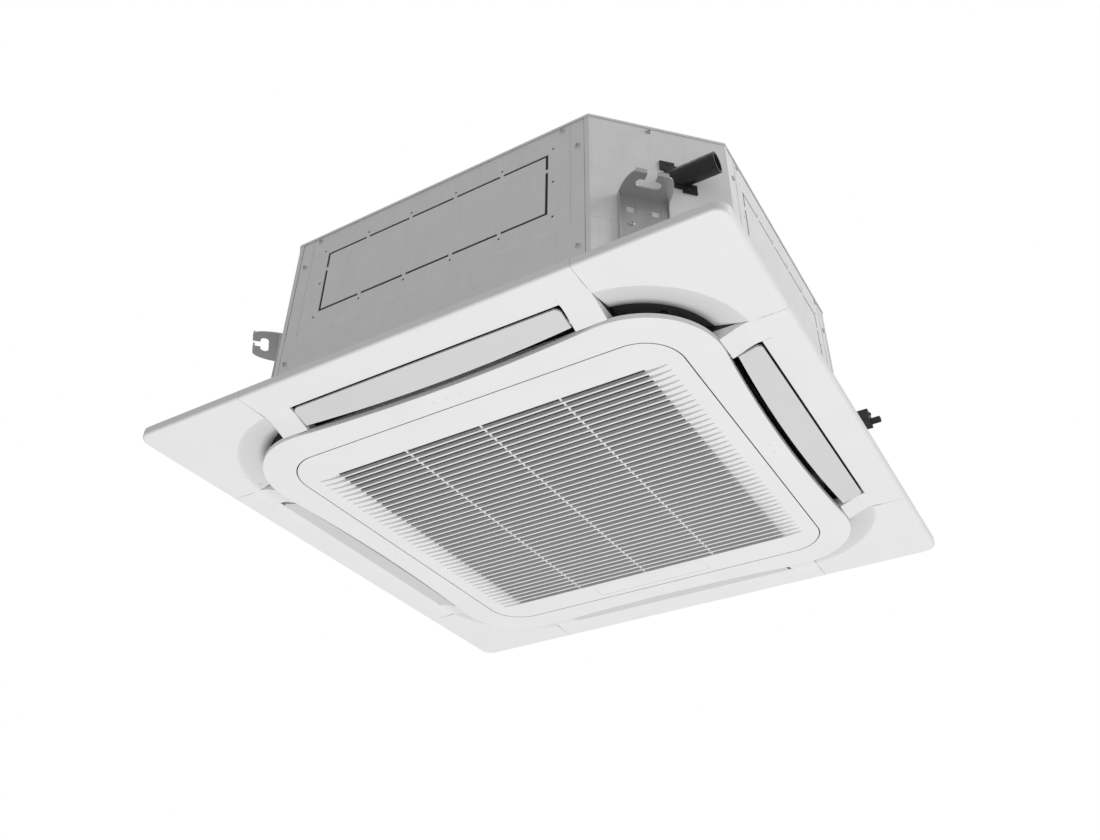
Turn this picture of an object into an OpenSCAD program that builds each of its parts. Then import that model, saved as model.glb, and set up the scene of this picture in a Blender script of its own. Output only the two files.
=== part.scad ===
/* [Casing] */
// Width of the casing across its flat sides
casing_w = 840; // [820:5:860]
// Height of the casing
casing_h = 319; // [310:1:340]
// Length cut off each face at three of the corners
corner_cut = 149; // [140:1:155]
// Length cut off each face at the pipe corner
pipe_cut = 251; // [240:1:260]
// Thickness of the sheet steel
sheet_t = 1.2; // [1:0.1:1.6]
// Thickness of the foam lining on the walls
lining_t = 14; // [10:1:16]
// Thickness of the foam lining under the top
top_lining_t = 18; // [12:1:20]
// Height of the turned-down edge of the top plate
cap_lip = 4; // [3:0.5:6]
// Height of the step in the walls above the casing's lower edge
step_h = 111; // [100:1:120]
// Depth of that step
step_in = 0.6; // [0.4:0.1:0.8]
// Distance from a corner fold to the wall's seam
seam_in = 8.3; // [6:0.1:12]
// Distance of the pressed strip line from the wall's middle
strip_x = 240; // [235:1:245]

/* [Knock-out panels] */
// Width of the knock-out on a full wall
knock_w = 408; // [380:1:420]
// Width of the knock-out on a wall beside the pipe corner
short_knock_w = 325; // [300:1:330]
// Height of the knock-outs
knock_h = 123; // [110:1:130]
// Distance from the casing's top to the knock-outs
knock_drop = 48.6; // [44:0.1:54]
// Width of the slot line round a knock-out
knock_line = 4.4; // [4:0.1:5]
// Width of the tabs that hold it
knock_tab = 6; // [5:1:10]
// Radius of the pilot holes
pilot_r = 2; // [1.5:0.1:2.5]
// Distance of the pilot holes from the slot line
pilot_gap = 8; // [6:1:9]

/* [Hangers] */
// Width of a hanger bracket
hanger_w = 74; // [70:1:80]
// Thickness of its steel
hanger_t = 2.3; // [2:0.1:3]
// Height of its tab above the casing's lower edge
hanger_h = 162; // [150:1:175]
// Height of its upright plate
hanger_plate_h = 110; // [100:1:120]
// Width of the tab at its end
tab_w = 47; // [44:1:50]
// Distance of the rod from the corner wall
rod_reach = 29.5; // [28:0.5:31]
// Distance of the rod along the wall from the corner's middle
rod_shift = 31.5; // [30:0.5:33]
// Width of the rod slot
rod_slot_w = 13; // [12:0.5:14]
// Length of the rod slot
rod_slot_l = 36; // [34:1:38]
// Width of the slot's open mouth
rod_mouth_w = 15; // [14:0.5:16]

/* [Panel] */
// Distance of the panel's edge outside the casing
rim_overhang = 55; // [50:1:60]
// Height of the panel's edge
rim_h = 14; // [13:0.5:16]
// Width of the flat rim, out to the edge
rim_w = 55; // [53:1:57]
// Radius of the panel's corners in plan
panel_r = 22; // [18:1:25]
// Radius of the rim's lower edge
rim_edge_r = 4.5; // [3:0.5:5]
// Width of the soft fold at the rim's inner edge
fold_w = 18; // [16:1:20]
// Height of that edge above the rim's lower face
fold_rise = 1.2; // [0.8:0.1:2]
// Thickness of the moulded panel parts
skin_t = 2.5; // [2:0.1:2.8]
// Distance that the centre frame lies below the rim
centre_drop = 16.4; // [15:0.1:18]
// Radius of the recess at its corners
recess_r = 172; // [168:1:176]
// Half the length of the rim between two corner covers
cover_seam = 271; // [268:1:274]
// Gap along the seams between panel parts
seam = 0.8; // [0.6:0.1:1]
// Gap between the casing and the ceiling's lower face
casing_gap = 13.6; // [13:0.1:16]
// Height of the panel's deck above the ceiling's lower face
deck_gap = 1.6; // [1.5:0.1:2.5]
// Thickness of the deck
deck_t = 3; // [2.5:0.1:3.5]
// Width of the lip at the inner edge of the corner covers
scoop_w = 47; // [45:1:49]
// Height of that lip above the rim's lower face
scoop_h = 12.5; // [12:0.5:13]

/* [Centre frame and outlets] */
// Width of an outlet at its middle
outlet_w = 54; // [52:1:56]
// Length of an outlet
outlet_l = 448; // [440:1:452]
// Distance that the outlets narrow towards their ends
centre_bulge = 11; // [9:1:12]
// Half the span over which they narrow
bulge_span = 250; // [245:1:255]
// Corner radius of the centre frame
centre_r = 117; // [114:1:120]
// Height of the centre frame's outer wall
frame_wall_h = 7.4; // [6.5:0.1:8]
// Width of the centre frame's face at its middle
border_w = 41.2; // [40:0.2:43]
// Radius of the raised marks on the frame
mark_r = 1.6; // [1.2:0.1:2]
// Distance between the marks
mark_pitch = 22; // [20:1:24]

/* [Vanes] */
// Gap at each end of a vane
vane_end_gap = 3; // [2:0.5:4]
// Thickness of a vane
vane_t = 3.5; // [3:0.1:4]
// Gap between a vane and the rim's fold
vane_gap = 3; // [2.5:0.1:3.5]
// Gap between a vane and the centre frame
vane_in_gap = 8.5; // [8:0.1:9]
// Distance that a vane's outer edge lies below the rim
vane_drop = 1; // [0.5:0.5:2]
// Slope of a closed vane in degrees
vane_tilt = 14; // [13:0.5:15]
// Radius of a vane's outer corners
vane_corner_r = 9; // [6:1:12]
// Distance from the recess edge to the vane's pivot
pivot_in = 32; // [30:1:34]
// Distance of the pivot below the rim
pivot_drop = 1.9; // [1.8:0.1:2.2]
// Radius of the pivot pins
vane_pin_r = 2.6; // [2.4:0.1:2.7]
// Clearance of all turning pins in their bores
pin_fit = 0.05; // [0.04:0.01:0.08]
// Radius of a vane motor
vane_motor_r = 9.5; // [8:0.5:9.5]
// Length of a vane motor
vane_motor_l = 18; // [15:1:20]

/* [Intake grille] */
// Gap round the grille
grille_gap = 1.8; // [1:0.1:2]
// Corner radius of the grille
grille_r = 62; // [58:1:66]
// Number of slots
slot_n = 41; // [35:2:41]
// Distance between slots
slot_pitch = 13.1; // [12.5:0.1:13.1]
// Width of a slot
slot_w = 9.9; // [9:0.1:10]
// Length of a slot where it goes right through
slot_l = 528; // [520:1:532]
// Length of the tapering finger at each end of a slot
finger_l = 35; // [32:1:37]
// Thickness of the grille's plate
grille_t = 3; // [2.5:0.1:3]
// Depth of the bars between the slots
bar_h = 6; // [5:0.5:6.5]
// Width of the ribs across the bars
rib_w = 3; // [2.5:0.5:4]
// Distance between the ribs
rib_pitch = 133; // [125:1:140]
// Depth of the ribs behind the grille's face
rib_sink = 3; // [2:0.5:4]
// Thickness of the grille's edge, below the step that lets it swing out
edge_t = 1.5; // [1:0.1:1.6]
// Width of that step
edge_in = 2.5; // [2:0.1:3]
// Distance of the hinge outside the grille's edge
hinge_out = 14.1; // [13:0.1:15]
// Height of the hinge above the grille's face
hinge_h = 6; // [5.9:0.1:6.3]
// Height of the hinge arms' bend above the hinge
neck_h = 15.1; // [15:0.1:16]
// Distance from the hinge to the foot of its arms
neck_l = 19; // [18.5:0.1:19.5]
// Radius of the hinge pins
hinge_r = 2; // [1.5:0.1:2.2]
// Distance of the hinge eyes from the middle
hinge_x = 190; // [170:5:220]
// Distance of the catches from the middle
catch_x = 150; // [130:5:180]
// Width of the blank plate on the grille's border
plate_w = 218; // [200:2:230]
// Depth of the blank plate
plate_d = 34; // [30:1:36]
// Thickness of the filter
filter_t = 6; // [5:0.5:7]
// Width of the filter's edge frame
filter_edge = 12; // [10:1:14]

/* [Fan] */
// Radius of the fan
fan_r = 235; // [225:1:240]
// Radius of the fan's inlet eye
eye_r = 165; // [160:1:170]
// Number of blades
blade_n = 7; // [5:1:9]
// Thickness of the blades and discs
blade_t = 3; // [2.5:0.1:4]
// Radius of the motor
motor_r = 68; // [64:1:72]
// Height of the motor
motor_h = 78; // [74:1:82]
// Radius of the motor's shaft
shaft_r = 6; // [5:0.5:7]
// Gap between the bell mouth and the fan's eye
eye_gap = 5; // [4:0.5:6]

/* [Coil and drain] */
// Half the width across the coil
coil_half = 332; // [328:1:334]
// Depth of the coil
coil_t = 36; // [34:1:38]
// Corner radius of the coil
coil_r = 130; // [126:1:134]
// Distance from the middle to the coil's open ends
coil_end = 195; // [185:1:200]
// Number of tubes in each row
tube_n = 10; // [8:1:10]
// Distance between the tubes
tube_pitch = 24; // [22:1:24]
// Radius of the coil's tubes
tube_r = 3.5; // [3:0.1:4]
// Height of the drain pan
pan_h = 50; // [46:1:54]
// Height of the pan's underside above the casing's lower edge
pan_lift = 16; // [15:0.5:18]
// Depth of the pan's channel
channel_h = 30; // [26:1:34]
// Width of the air way between the pan and the lining
air_way = 52.8; // [50:0.2:54]
// Radius of the drain pump
pump_r = 24; // [22:1:25]
// Outer radius of the drain outlet
drain_r = 16; // [14:0.5:18]
// Bore radius of the drain outlet
drain_bore_r = 12.5; // [11:0.5:13]
// Height of the drain outlet above the casing's lower edge
drain_h = 220; // [210:1:230]
// Radius of the float
float_r = 11; // [9:0.5:12]
// Distance that the float can rise
float_travel = 12; // [8:1:14]

/* [Refrigerant pipes] */
// Outer radius of the gas pipe
gas_r = 7.94; // [7.94, 9.53]
// Outer radius of the liquid pipe
liquid_r = 4.76; // [4.76, 6.35]
// Wall thickness of the pipes
pipe_t = 1; // [0.8:0.1:1.2]
// Distance that the liquid pipe reaches past the casing's right wall
liquid_out = 33; // [28:1:38]
// Distance that the gas pipe stops short of the casing's right wall
gas_short = 8; // [6:1:20]
// Distance between the two pipes
pipe_gap = 50; // [46:1:56]
// Height of the pipes above the casing's lower edge
pipe_h = 170; // [160:1:180]

/* [Electrical box] */
// Length of the box
box_l = 320; // [300:5:340]
// Width of the box
box_w = 56; // [50:1:58]
// Height of the box
box_h = 34; // [30:1:35]
// Thickness of the box walls
box_t = 1; // [0.8:0.1:1.5]

/* [Hidden] */
over = 1;
fit_gap = 0.3;
big = 2 * casing_w;
smooth = 96;

// Levels, measured from the ceiling's lower face
rim_z = -rim_h;
face_z = rim_z - centre_drop;
casing_z = casing_gap;
casing_top = casing_z + casing_h;
deck_top = deck_gap + deck_t;
lining_top = casing_top - sheet_t - top_lining_t;
pan_z = casing_z + pan_lift;
channel_z = pan_z + pan_h - channel_h;
tab_z = casing_z + hanger_h;
drain_z = casing_z + drain_h;
pipe_z = casing_z + pipe_h;

// Half widths in plan
casing_half = casing_w / 2;
panel_half = casing_half + rim_overhang;
recess_half = panel_half - rim_w;
centre_half = recess_half - outlet_w;
grille_hole = centre_half - border_w + grille_gap / 2;
grille_half = grille_hole - grille_gap;
outlet_half = outlet_l / 2;
lining_in = casing_half - sheet_t - lining_t;
pan_half = lining_in - air_way;
duct_in = centre_half - 3 * skin_t;
bow_r = (bulge_span * bulge_span + centre_bulge * centre_bulge) / (2 * centre_bulge);
tan_fold = tan(22.5);

// Colours as the photograph shows them
white = [0.93, 0.93, 0.93];
pale = [0.86, 0.87, 0.87];
steel = [0.74, 0.75, 0.76];
dark = [0.12, 0.12, 0.13];
foam = [0.3, 0.31, 0.32];
copper = [0.72, 0.45, 0.3];

// Shapes that many pieces share

function arc_pts(c, r, from, to, n = 8) =
    [for (i = [0:n]) c + r * [cos(from + (to - from) * i / n), sin(from + (to - from) * i / n)]];

// Plan of the casing, grown outwards by d
module casing_plan(d) {
    half = casing_half + d;
    side = casing_half - corner_cut + d * tan_fold;
    short = casing_half - pipe_cut + d * tan_fold;
    polygon([[-side, -half], [side, -half], [half, -side], [half, short],
        [short, half], [-side, half], [-half, side], [-half, -side]]);
}

module round_square(half, r) {
    square([2 * half, 2 * (half - r)], center = true);
    square([2 * (half - r), 2 * half], center = true);
    for (x = [-1, 1], y = [-1, 1])
        translate([x * (half - r), y * (half - r)]) circle(r = r, $fn = smooth);
}

module slab(z, t) {
    translate([0, 0, z]) linear_extrude(t) children();
}

module turn_side(k) {
    rotate([0, 0, 90 * k]) children();
}

// Local frame of a corner wall: X along the wall, -Y outwards, its middle at the origin
module at_corner(k) {
    cut = (k == 1) ? pipe_cut : corner_cut;
    rotate([0, 0, 45 + 90 * k])
        translate([0, -(2 * casing_half - cut) / sqrt(2), 0]) children();
}

module rod(r, h, z = 0) {
    translate([0, 0, z]) cylinder(r = r, h = h, $fn = smooth);
}

module hex_nut(across, h) {
    cylinder(r = across / sqrt(3), h = h, $fn = 6);
}

// A cross-recessed screw, head outwards along +Z, shank down from the origin
module screw(head_r, head_h, shank_r, shank_l) {
    slot = head_r / 3;
    dome_share = 0.7;
    difference() {
        union() {
            rotate_extrude($fn = 32)
                polygon([[0, 0], [head_r, 0], [head_r, head_h / 3], [head_r * dome_share, head_h],
                    [0, head_h]]);
            translate([0, 0, -shank_l]) cylinder(r = shank_r, h = shank_l + head_h / 2, $fn = 32);
        }
        for (a = [0, 90])
            rotate([0, 0, a]) translate([-head_r / 2, -slot / 2, head_h / 2])
                cube([head_r, slot, head_h]);
    }
}

// Casing

module top_plate() {
    cap_gap = 0.1;
    color(steel) difference() {
        union() {
            slab(casing_top - sheet_t, sheet_t) casing_plan(sheet_t);
            slab(casing_top - cap_lip, cap_lip) difference() {
                casing_plan(sheet_t);
                casing_plan(cap_gap);
            }
        }
        for (a = [45:90:315]) rotate([0, 0, a])
            translate([motor_ear, 0, 0]) rod(stud_r + fit_gap, over + sheet_t * 2, casing_top - 2 * sheet_t);
    }
}

// One slot line of a knock-out, with a gap at each tab
module slot_line(length, tabs) {
    difference() {
        square([length, knock_line], center = true);
        for (t = tabs) translate([t, 0]) square([knock_tab, 2 * knock_line], center = true);
    }
}

knock_mid = casing_top - knock_drop - knock_h / 2;
tab_share = 0.61;
upright_share = 0.22;

module knock_out(w) {
    ends = [-w * tab_share / 2, -w * tab_share / 6, w * tab_share / 6, w * tab_share / 2];
    for (s = [-1, 1]) {
        translate([0, s * (knock_h - knock_line) / 2]) slot_line(w, ends);
        translate([s * (w - knock_line) / 2, 0]) rotate(90)
            slot_line(knock_h, [upright_share * knock_h]);
        for (x = concat(ends, [-w / 2 - pilot_gap, w / 2 + pilot_gap]))
            translate([x, s * (knock_h / 2 + pilot_gap)]) circle(r = pilot_r, $fn = 24);
        translate([s * (w / 2 + pilot_gap), 0]) circle(r = pilot_r, $fn = 24);
    }
}

// A side wall: lo and hi are the folds at its two ends
module wall(lo, hi, w) {
    left = lo + seam_in;
    right = hi - seam_in;
    mid = (lo + hi) / 2;
    line_w = 1.2;
    strip_in = full - strip_x;
    difference() {
        union() {
            translate([left, -casing_half, casing_z]) cube([right - left, sheet_t + step_in, step_h]);
            translate([left, step_in - casing_half, casing_z])
                cube([right - left, sheet_t, casing_h - sheet_t]);
            translate([left, -casing_half, casing_z]) cube([right - left, lining_t, sheet_t]);
            // Upright pressed strips
            for (x = [lo + strip_in, hi - strip_in]) translate([x - line_w / 2, -casing_half, casing_z])
                cube([line_w, sheet_t, casing_h - cap_lip - sheet_t]);
        }
        translate([mid, over - casing_half + 2 * sheet_t, knock_mid]) rotate([90, 0, 0])
            linear_extrude(2 * over + 2 * sheet_t) knock_out(w);
        wall_screw_places(lo, hi) translate([0, 0, -lining_t / 2])
            cylinder(r = screw_r, h = lining_t, $fn = 32);
    }
}

screw_r = 2;
screw_head_r = 4.2;
screw_head_h = 2.4;
screw_high = 7;
screw_mid_drop = 57;
screw_low = 64;
screw_in = 44;
corner_screw_u = -14;
screw_edge = 19;

module wall_screw_places(lo, hi) {
    high = casing_top - cap_lip - screw_high;
    for (p = [[lo + screw_in, high], [hi - screw_in, high],
            [lo + screw_edge, casing_top - screw_mid_drop], [hi - screw_edge, casing_top - screw_mid_drop],
            [lo + screw_edge, casing_z + screw_low], [hi - screw_edge, casing_z + screw_low]])
        translate([p.x, ((p.y > casing_z + step_h) ? step_in : 0) - casing_half, p.y])
            rotate([90, 0, 0]) children();
}

full = casing_half - corner_cut;
short = casing_half - pipe_cut;

module wall_front() { color(pale) turn_side(0) wall(-full, full, knock_w); }
module wall_right() { color(pale) turn_side(1) wall(-full, short, short_knock_w); }
module wall_back() { color(pale) turn_side(2) wall(-short, full, short_knock_w); }
module wall_left() { color(pale) turn_side(3) wall(-full, full, knock_w); }

// A corner wall, with the returns that meet the side walls
module corner_plate(k) {
    difference() {
        slab(casing_z, casing_h - sheet_t) intersection() {
            difference() {
                casing_plan(0);
                casing_plan(-sheet_t);
            }
            corner_region(k, seam_in - wall_gap);
        }
        // Line at the height of the walls' step
        slab(casing_z + step_h - wall_gap, wall_gap) difference() {
            casing_plan(over);
            casing_plan(-step_in);
        }
        hanger_screw_places() cylinder(r = screw_r, h = lining_t, center = true, $fn = 32);
        corner_screw_places() cylinder(r = screw_r, h = lining_t, center = true, $fn = 32);
        children();
    }
    difference() {
        slab(casing_z, sheet_t) intersection() {
            difference() {
                casing_plan(-sheet_t / 2);
                casing_plan(-3 * lining_t);
            }
            corner_region(k, 0);
        }
        bolt_places() rod(bolt_r, 4 * sheet_t, casing_z - sheet_t);
    }
}

wall_gap = 0.9;
bolt_r = 3;
bolt_in = 29;
pipe_bolt_in = 9;

// The four bolts that hold the panel, beside the corner walls
module bolt_places() {
    for (k = [0:3]) at_corner(k) translate([0, (k == 1) ? pipe_bolt_in : bolt_in, 0]) children();
}

// The two screws of each hanger, heads outwards along +Z
module hanger_screw_places() {
    for (k = [0:3], s = [-1, 1]) {
        m = (k % 2 == 0) ? 1 : -1;
        at_corner(k)
            translate([m * (-rod_shift + rod_share * hanger_w + s * hanger_w / 4), 0,
                    tab_z - hanger_screw_drop])
                rotate([90, 0, 0]) children();
    }
}

// The screw near the top of each corner wall
module corner_screw_places() {
    for (k = [0:3]) at_corner(k)
        translate([corner_screw_u, 0, casing_top - cap_lip - screw_high]) rotate([90, 0, 0]) children();
}

// The plan region beyond the folds of corner k
module corner_region(k, extra) {
    a = (k == 1) ? short : full;
    dirs = [[1, -1], [1, 1], [-1, 1], [-1, -1]];
    d = dirs[k];
    lo = a - extra;
    polygon([[d.x * lo, d.y * (casing_half + over)], [d.x * lo, d.y * (casing_half - sheet_t * 2)],
        [d.x * (lo - lining_t), d.y * (lo - lining_t)],
        [d.x * (casing_half - sheet_t * 2), d.y * lo], [d.x * (casing_half + over), d.y * lo],
        [d.x * (casing_half + over), d.y * (casing_half + over)]]);
}

module drain_way(r) {
    translate([pump_x, -drain_y, drain_z]) rotate([0, 90, 0]) cylinder(r = r, h = casing_half, $fn = smooth);
}

module pipe_way(y, r, z = pipe_z) {
    translate([pipe_root, y, z]) rotate([0, 90, 0]) cylinder(r = r, h = casing_half, $fn = smooth);
}

drain_y = 327.5;
pump_x = 308;
pipe_y = 325;
gas_y = pipe_y - pipe_gap;
pipe_root = 236;
liquid_end = casing_half + liquid_out;
gas_end = casing_half - gas_short;
gland_u = -60;
gland_h = 95;
gland_z = casing_z + gland_h;
gland_r = 12;
gland_lip = 2;

module gland_place() {
    at_corner(1) translate([gland_u, 0, gland_z]) rotate([90, 0, 0]) children();
}

module corner_plate_drain() {
    color(pale) corner_plate(0) drain_way(drain_r + fit_gap);
}

module corner_plate_pipe() {
    color(pale) corner_plate(1) {
        pipe_way(pipe_y, liquid_r + fit_gap);
        pipe_way(gas_y, gas_r + fit_gap);
        gland_place() translate([0, 0, -lining_t])
            cylinder(r = gland_r - gland_lip, h = 2 * lining_t, $fn = smooth);
    }
}

module corner_plate_rear() { color(pale) corner_plate(2); }
module corner_plate_left() { color(pale) corner_plate(3); }

// A hanger bracket: an upright plate with a windowed fold and a slotted tab for the rod
module hanger(k) {
    m = (k % 2 == 0) ? 1 : -1;
    cut = (k == 1) ? pipe_cut : corner_cut;
    reach = rod_reach + (cut - corner_cut) / sqrt(2);
    tip = reach + tab_end;
    plate_mid = -hanger_w / 2 + rod_share * hanger_w;
    at_corner(k) mirror([(m < 0) ? 1 : 0, 0, 0]) translate([-rod_shift, 0, 0]) {
        // Upright plate
        difference() {
            translate([plate_mid, -hanger_t, tab_z - hanger_plate_h])
                cube([hanger_w, hanger_t, hanger_plate_h]);
            for (s = [-1, 1])
                translate([plate_mid + hanger_w / 2 + s * hanger_w / 4 - window_w / 2, -over - hanger_t,
                        tab_z - window_drop])
                    cube([window_w, 2 * over + hanger_t, window_w]);
            for (s = [-1, 1])
                translate([plate_mid + hanger_w / 2 + s * hanger_w / 4, 0, tab_z - hanger_screw_drop])
                    rotate([90, 0, 0]) translate([0, 0, -over])
                        cylinder(r = screw_r, h = 2 * over + hanger_t, $fn = 32);
        }
        // Tab with its slot and open mouth
        difference() {
            slab(tab_z - hanger_t, hanger_t) difference() {
                polygon(concat([[plate_mid, 0], [plate_mid + hanger_w, 0]],
                    [for (t = [0:10:90]) tab_point(plate_mid + hanger_w, tab_w / 2, tip, t)],
                    [for (t = [90:-10:0]) tab_point(plate_mid, -tab_w / 2, tip, t)]));
                translate([0, -reach]) {
                    square([rod_slot_l - rod_slot_w, rod_slot_w], center = true);
                    for (s = [-1, 1]) translate([s * (rod_slot_l - rod_slot_w) / 2, 0])
                        circle(r = rod_slot_w / 2, $fn = smooth);
                    translate([-rod_mouth_w / 2, -tab_end - over]) square([rod_mouth_w, tab_end + over]);
                }
            }
        }
        // Turned-up teeth at the tab's end, on both sides of the mouth
        for (s = [-1, 1])
            translate([s * (tab_w + rod_mouth_w) / 4 - (tab_w - rod_mouth_w) / 4, -tip, tab_z - hanger_t])
                cube([(tab_w - rod_mouth_w) / 2, hanger_t, tooth_h]);
        // Side flanges, wider under the tab
        for (x = [plate_mid, plate_mid + hanger_w - hanger_t])
            translate([x, 0, 0]) rotate([90, 0, 90]) linear_extrude(hanger_t)
                polygon([[0, tab_z], [-tab_root, tab_z], [-tab_root, tab_z - hanger_t],
                    [-flange_d, tab_z - gusset_h], [-flange_d, tab_z - hanger_plate_h],
                    [0, tab_z - hanger_plate_h]]);
    }
}

// Points of the tab's rounded side, from its root to its end
function tab_point(root_x, end_x, tip, t) =
    [end_x + (root_x - end_x) * cos(t), -tab_root - (tip - tab_root) * sin(t)];

flange_d = 6;
tab_end = 18.5;
tab_root = 8;
tooth_h = 8;
gusset_h = 26;
window_w = 13;
window_drop = 33;
hanger_screw_drop = 54;
rod_share = 0.02;

module hanger_drain() { color(steel) hanger(0); }
module hanger_pipe() { color(steel) hanger(1); }
module hanger_rear() { color(steel) hanger(2); }
module hanger_left() { color(steel) hanger(3); }

module casing_screws() {
    color(steel) {
        ends = [[-full, full], [-full, short], [-short, full], [-full, full]];
        for (k = [0:3]) {
            turn_side(k) wall_screw_places(ends[k][0], ends[k][1])
                screw(screw_head_r, screw_head_h, screw_r, lining_t / 2);
        }
        hanger_screw_places() translate([0, 0, hanger_t])
            screw(screw_head_r, screw_head_h, screw_r, lining_t / 2);
        corner_screw_places() screw(screw_head_r, screw_head_h, screw_r, lining_t / 2);
    }
}

module foam_lining() {
    stud_hole = motor_ear + lining_t;
    color(foam) difference() {
        slab(casing_z + sheet_t, casing_h - 2 * sheet_t) casing_plan(-sheet_t - step_in);
        slab(casing_z, lining_top - casing_z) casing_plan(-sheet_t - lining_t);
        rod(stud_hole, casing_h, lining_top - over);
        drain_way(drain_r + fit_gap);
        pipe_way(pipe_y, liquid_r + fit_gap);
        pipe_way(gas_y, gas_r + fit_gap);
        gland_place() translate([0, 0, -2 * lining_t]) cylinder(r = gland_r, h = 3 * lining_t, $fn = smooth);
        for (k = [0:3]) {
            ends = [[-full, full], [-full, short], [-short, full], [-full, full]];
            turn_side(k) wall_screw_places(ends[k][0], ends[k][1])
                translate([0, 0, -lining_t]) cylinder(r = screw_r + fit_gap, h = lining_t, $fn = 32);
        }
        hanger_screw_places() translate([0, 0, -lining_t])
            cylinder(r = screw_r + fit_gap, h = lining_t, $fn = 32);
        corner_screw_places() translate([0, 0, -lining_t])
            cylinder(r = screw_r + fit_gap, h = lining_t, $fn = 32);
    }
}

// Heat exchanger

coil_z = channel_z;
coil_h = tube_n * tube_pitch;

module coil_plan() {
    difference() {
        round_square(coil_half, coil_r);
        round_square(coil_half - coil_t, coil_r - coil_t);
        translate([coil_end, coil_end]) square(big);
    }
}

module coil_fins() {
    color(steel) slab(coil_z, coil_h) coil_plan();
}

module coil_end_places() {
    translate([coil_end, coil_half - coil_t, 0]) children();
    mirror([1, -1, 0]) translate([coil_end, coil_half - coil_t, 0]) children();
}

module coil_end_plates() {
    color(pale) coil_end_places() translate([0, 0, coil_z]) cube([sheet_t, coil_t, coil_h]);
}

module coil_bends() {
    turn_r = tube_pitch / 4;
    color(copper) coil_end_places()
        for (row = [1, 3], i = [0:tube_n - 1])
            translate([sheet_t, row * coil_t / 4, coil_z + (i + 0.5) * tube_pitch])
                rotate([90, 0, 0]) rotate([0, 0, -90]) rotate_extrude(angle = 180, $fn = smooth)
                    translate([turn_r, 0]) circle(r = tube_r, $fn = 32);
}

// A pipe from the coil's end to the outside, with an upright header inside and a slightly wider end
module pipe(y, end_r, end, slim = 0) {
    r = end_r - slim;
    bend_r = 3 * r;
    low = coil_z + over;
    difference() {
        union() {
            translate([header_x + bend_r, y, pipe_z]) rotate([0, 90, 0])
                cylinder(r = r, h = end - header_x - bend_r, $fn = smooth);
            translate([header_x + bend_r, y, pipe_z - bend_r]) rotate([90, 0, 0]) rotate([0, 0, 90])
                rotate_extrude(angle = 90, $fn = smooth) translate([bend_r, 0]) circle(r = r, $fn = smooth);
            translate([header_x, y, low]) cylinder(r = r, h = pipe_z - bend_r - low, $fn = smooth);
            translate([end - pipe_end_l, y, pipe_z]) rotate([0, 90, 0])
                cylinder(r = end_r, h = pipe_end_l, $fn = smooth);
        }
        translate([end - lining_t, y, pipe_z]) rotate([0, 90, 0])
            cylinder(r = r - pipe_t, h = 2 * lining_t, $fn = smooth);
    }
}

header_x = coil_end + sheet_t + tube_pitch / 4 + tube_r + gas_r + fit_gap;

pipe_end_l = 17;
pipe_slim = 0.3;

module gas_pipe() { color(copper) pipe(gas_y, gas_r, gas_end, pipe_slim); }
module liquid_pipe() { color(copper) pipe(pipe_y, liquid_r, liquid_end - cap_t); }

// The union nut near the end of the gas pipe
module flare_nut() {
    nut_shares = [2.3, 3.4];
    nut_l = gas_r * nut_shares.x;
    color([0.76, 0.62, 0.35]) translate([gas_end - 2 * nut_l, gas_y, pipe_z]) rotate([0, 90, 0])
        difference() {
            hex_nut(gas_r * nut_shares.y, nut_l);
            translate([0, 0, -over])
                cylinder(r = gas_r - pipe_slim, h = nut_l + 2 * over, $fn = smooth);
        }
}

cap_t = 1.2;
block_l = 26;
block_w = 24;
block_h = 28;
block_low = 6.5;
stub_l = 18;
knob_r = 2.6;

// Black block on the liquid pipe, with the cap over the pipe's end and a small screw knob
module pipe_block() {
    stub_r = liquid_r + cap_t;
    face = liquid_end - stub_l;
    color(dark) difference() {
        union() {
            translate([face - block_l, pipe_y - block_w / 2, pipe_z - block_low])
                cube([block_l, block_w, block_h]);
            translate([face - over, pipe_y, pipe_z]) rotate([0, 90, 0])
                rotate_extrude($fn = smooth) polygon(concat([[0, 0]],
                    [[stub_r, 0]],
                    arc_pts([stub_r - 2 * cap_t, stub_l + over - 2 * cap_t], 2 * cap_t, 0, 90),
                    [[0, stub_l + over]]));
            translate([face - over, pipe_y, pipe_z + block_h - block_low - 2 * knob_r])
                rotate([0, 90, 0]) cylinder(r = knob_r, h = knob_r + over, $fn = 32);
        }
        translate([face - block_l - over, pipe_y, pipe_z]) rotate([0, 90, 0])
            cylinder(r = liquid_r, h = block_l + over + stub_l - cap_t, $fn = smooth);
    }
}

module cable_gland() {
    flange = 3;
    color(dark) gland_place() difference() {
        union() {
            translate([0, 0, -sheet_t])
                cylinder(r = gland_r - gland_lip, h = sheet_t + flange, $fn = smooth);
            cylinder(r = gland_r, h = flange, $fn = smooth);
            translate([0, 0, -sheet_t - flange]) cylinder(r = gland_r, h = flange, $fn = smooth);
        }
        translate([0, 0, -lining_t]) cylinder(r = gland_r / 2, h = 2 * lining_t, $fn = smooth);
    }
}

// Fan and motor

stud_out = 12;
motor_ear = motor_r + stud_out;
motor_gap = 12;
motor_top = lining_top - motor_gap;
motor_z = motor_top - motor_h;
stud_r = 4;
ear_t = 4;
damper_r = 9;
damper_h = 10;
ear_drop = 16;
ear_z = motor_top - ear_drop;
ear_rim = 2;
groove = 3;
fan_lift = 30;
fan_drop = 34;
fan_z = pan_z + pan_h + fan_lift;
fan_h = motor_top - fan_drop - fan_z;
fan_top = fan_z + fan_h;
bowl_gap = 8;
bowl_r = motor_r + bowl_gap;
bowl_drop = 10;
bowl_z = motor_z - bowl_drop;

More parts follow.
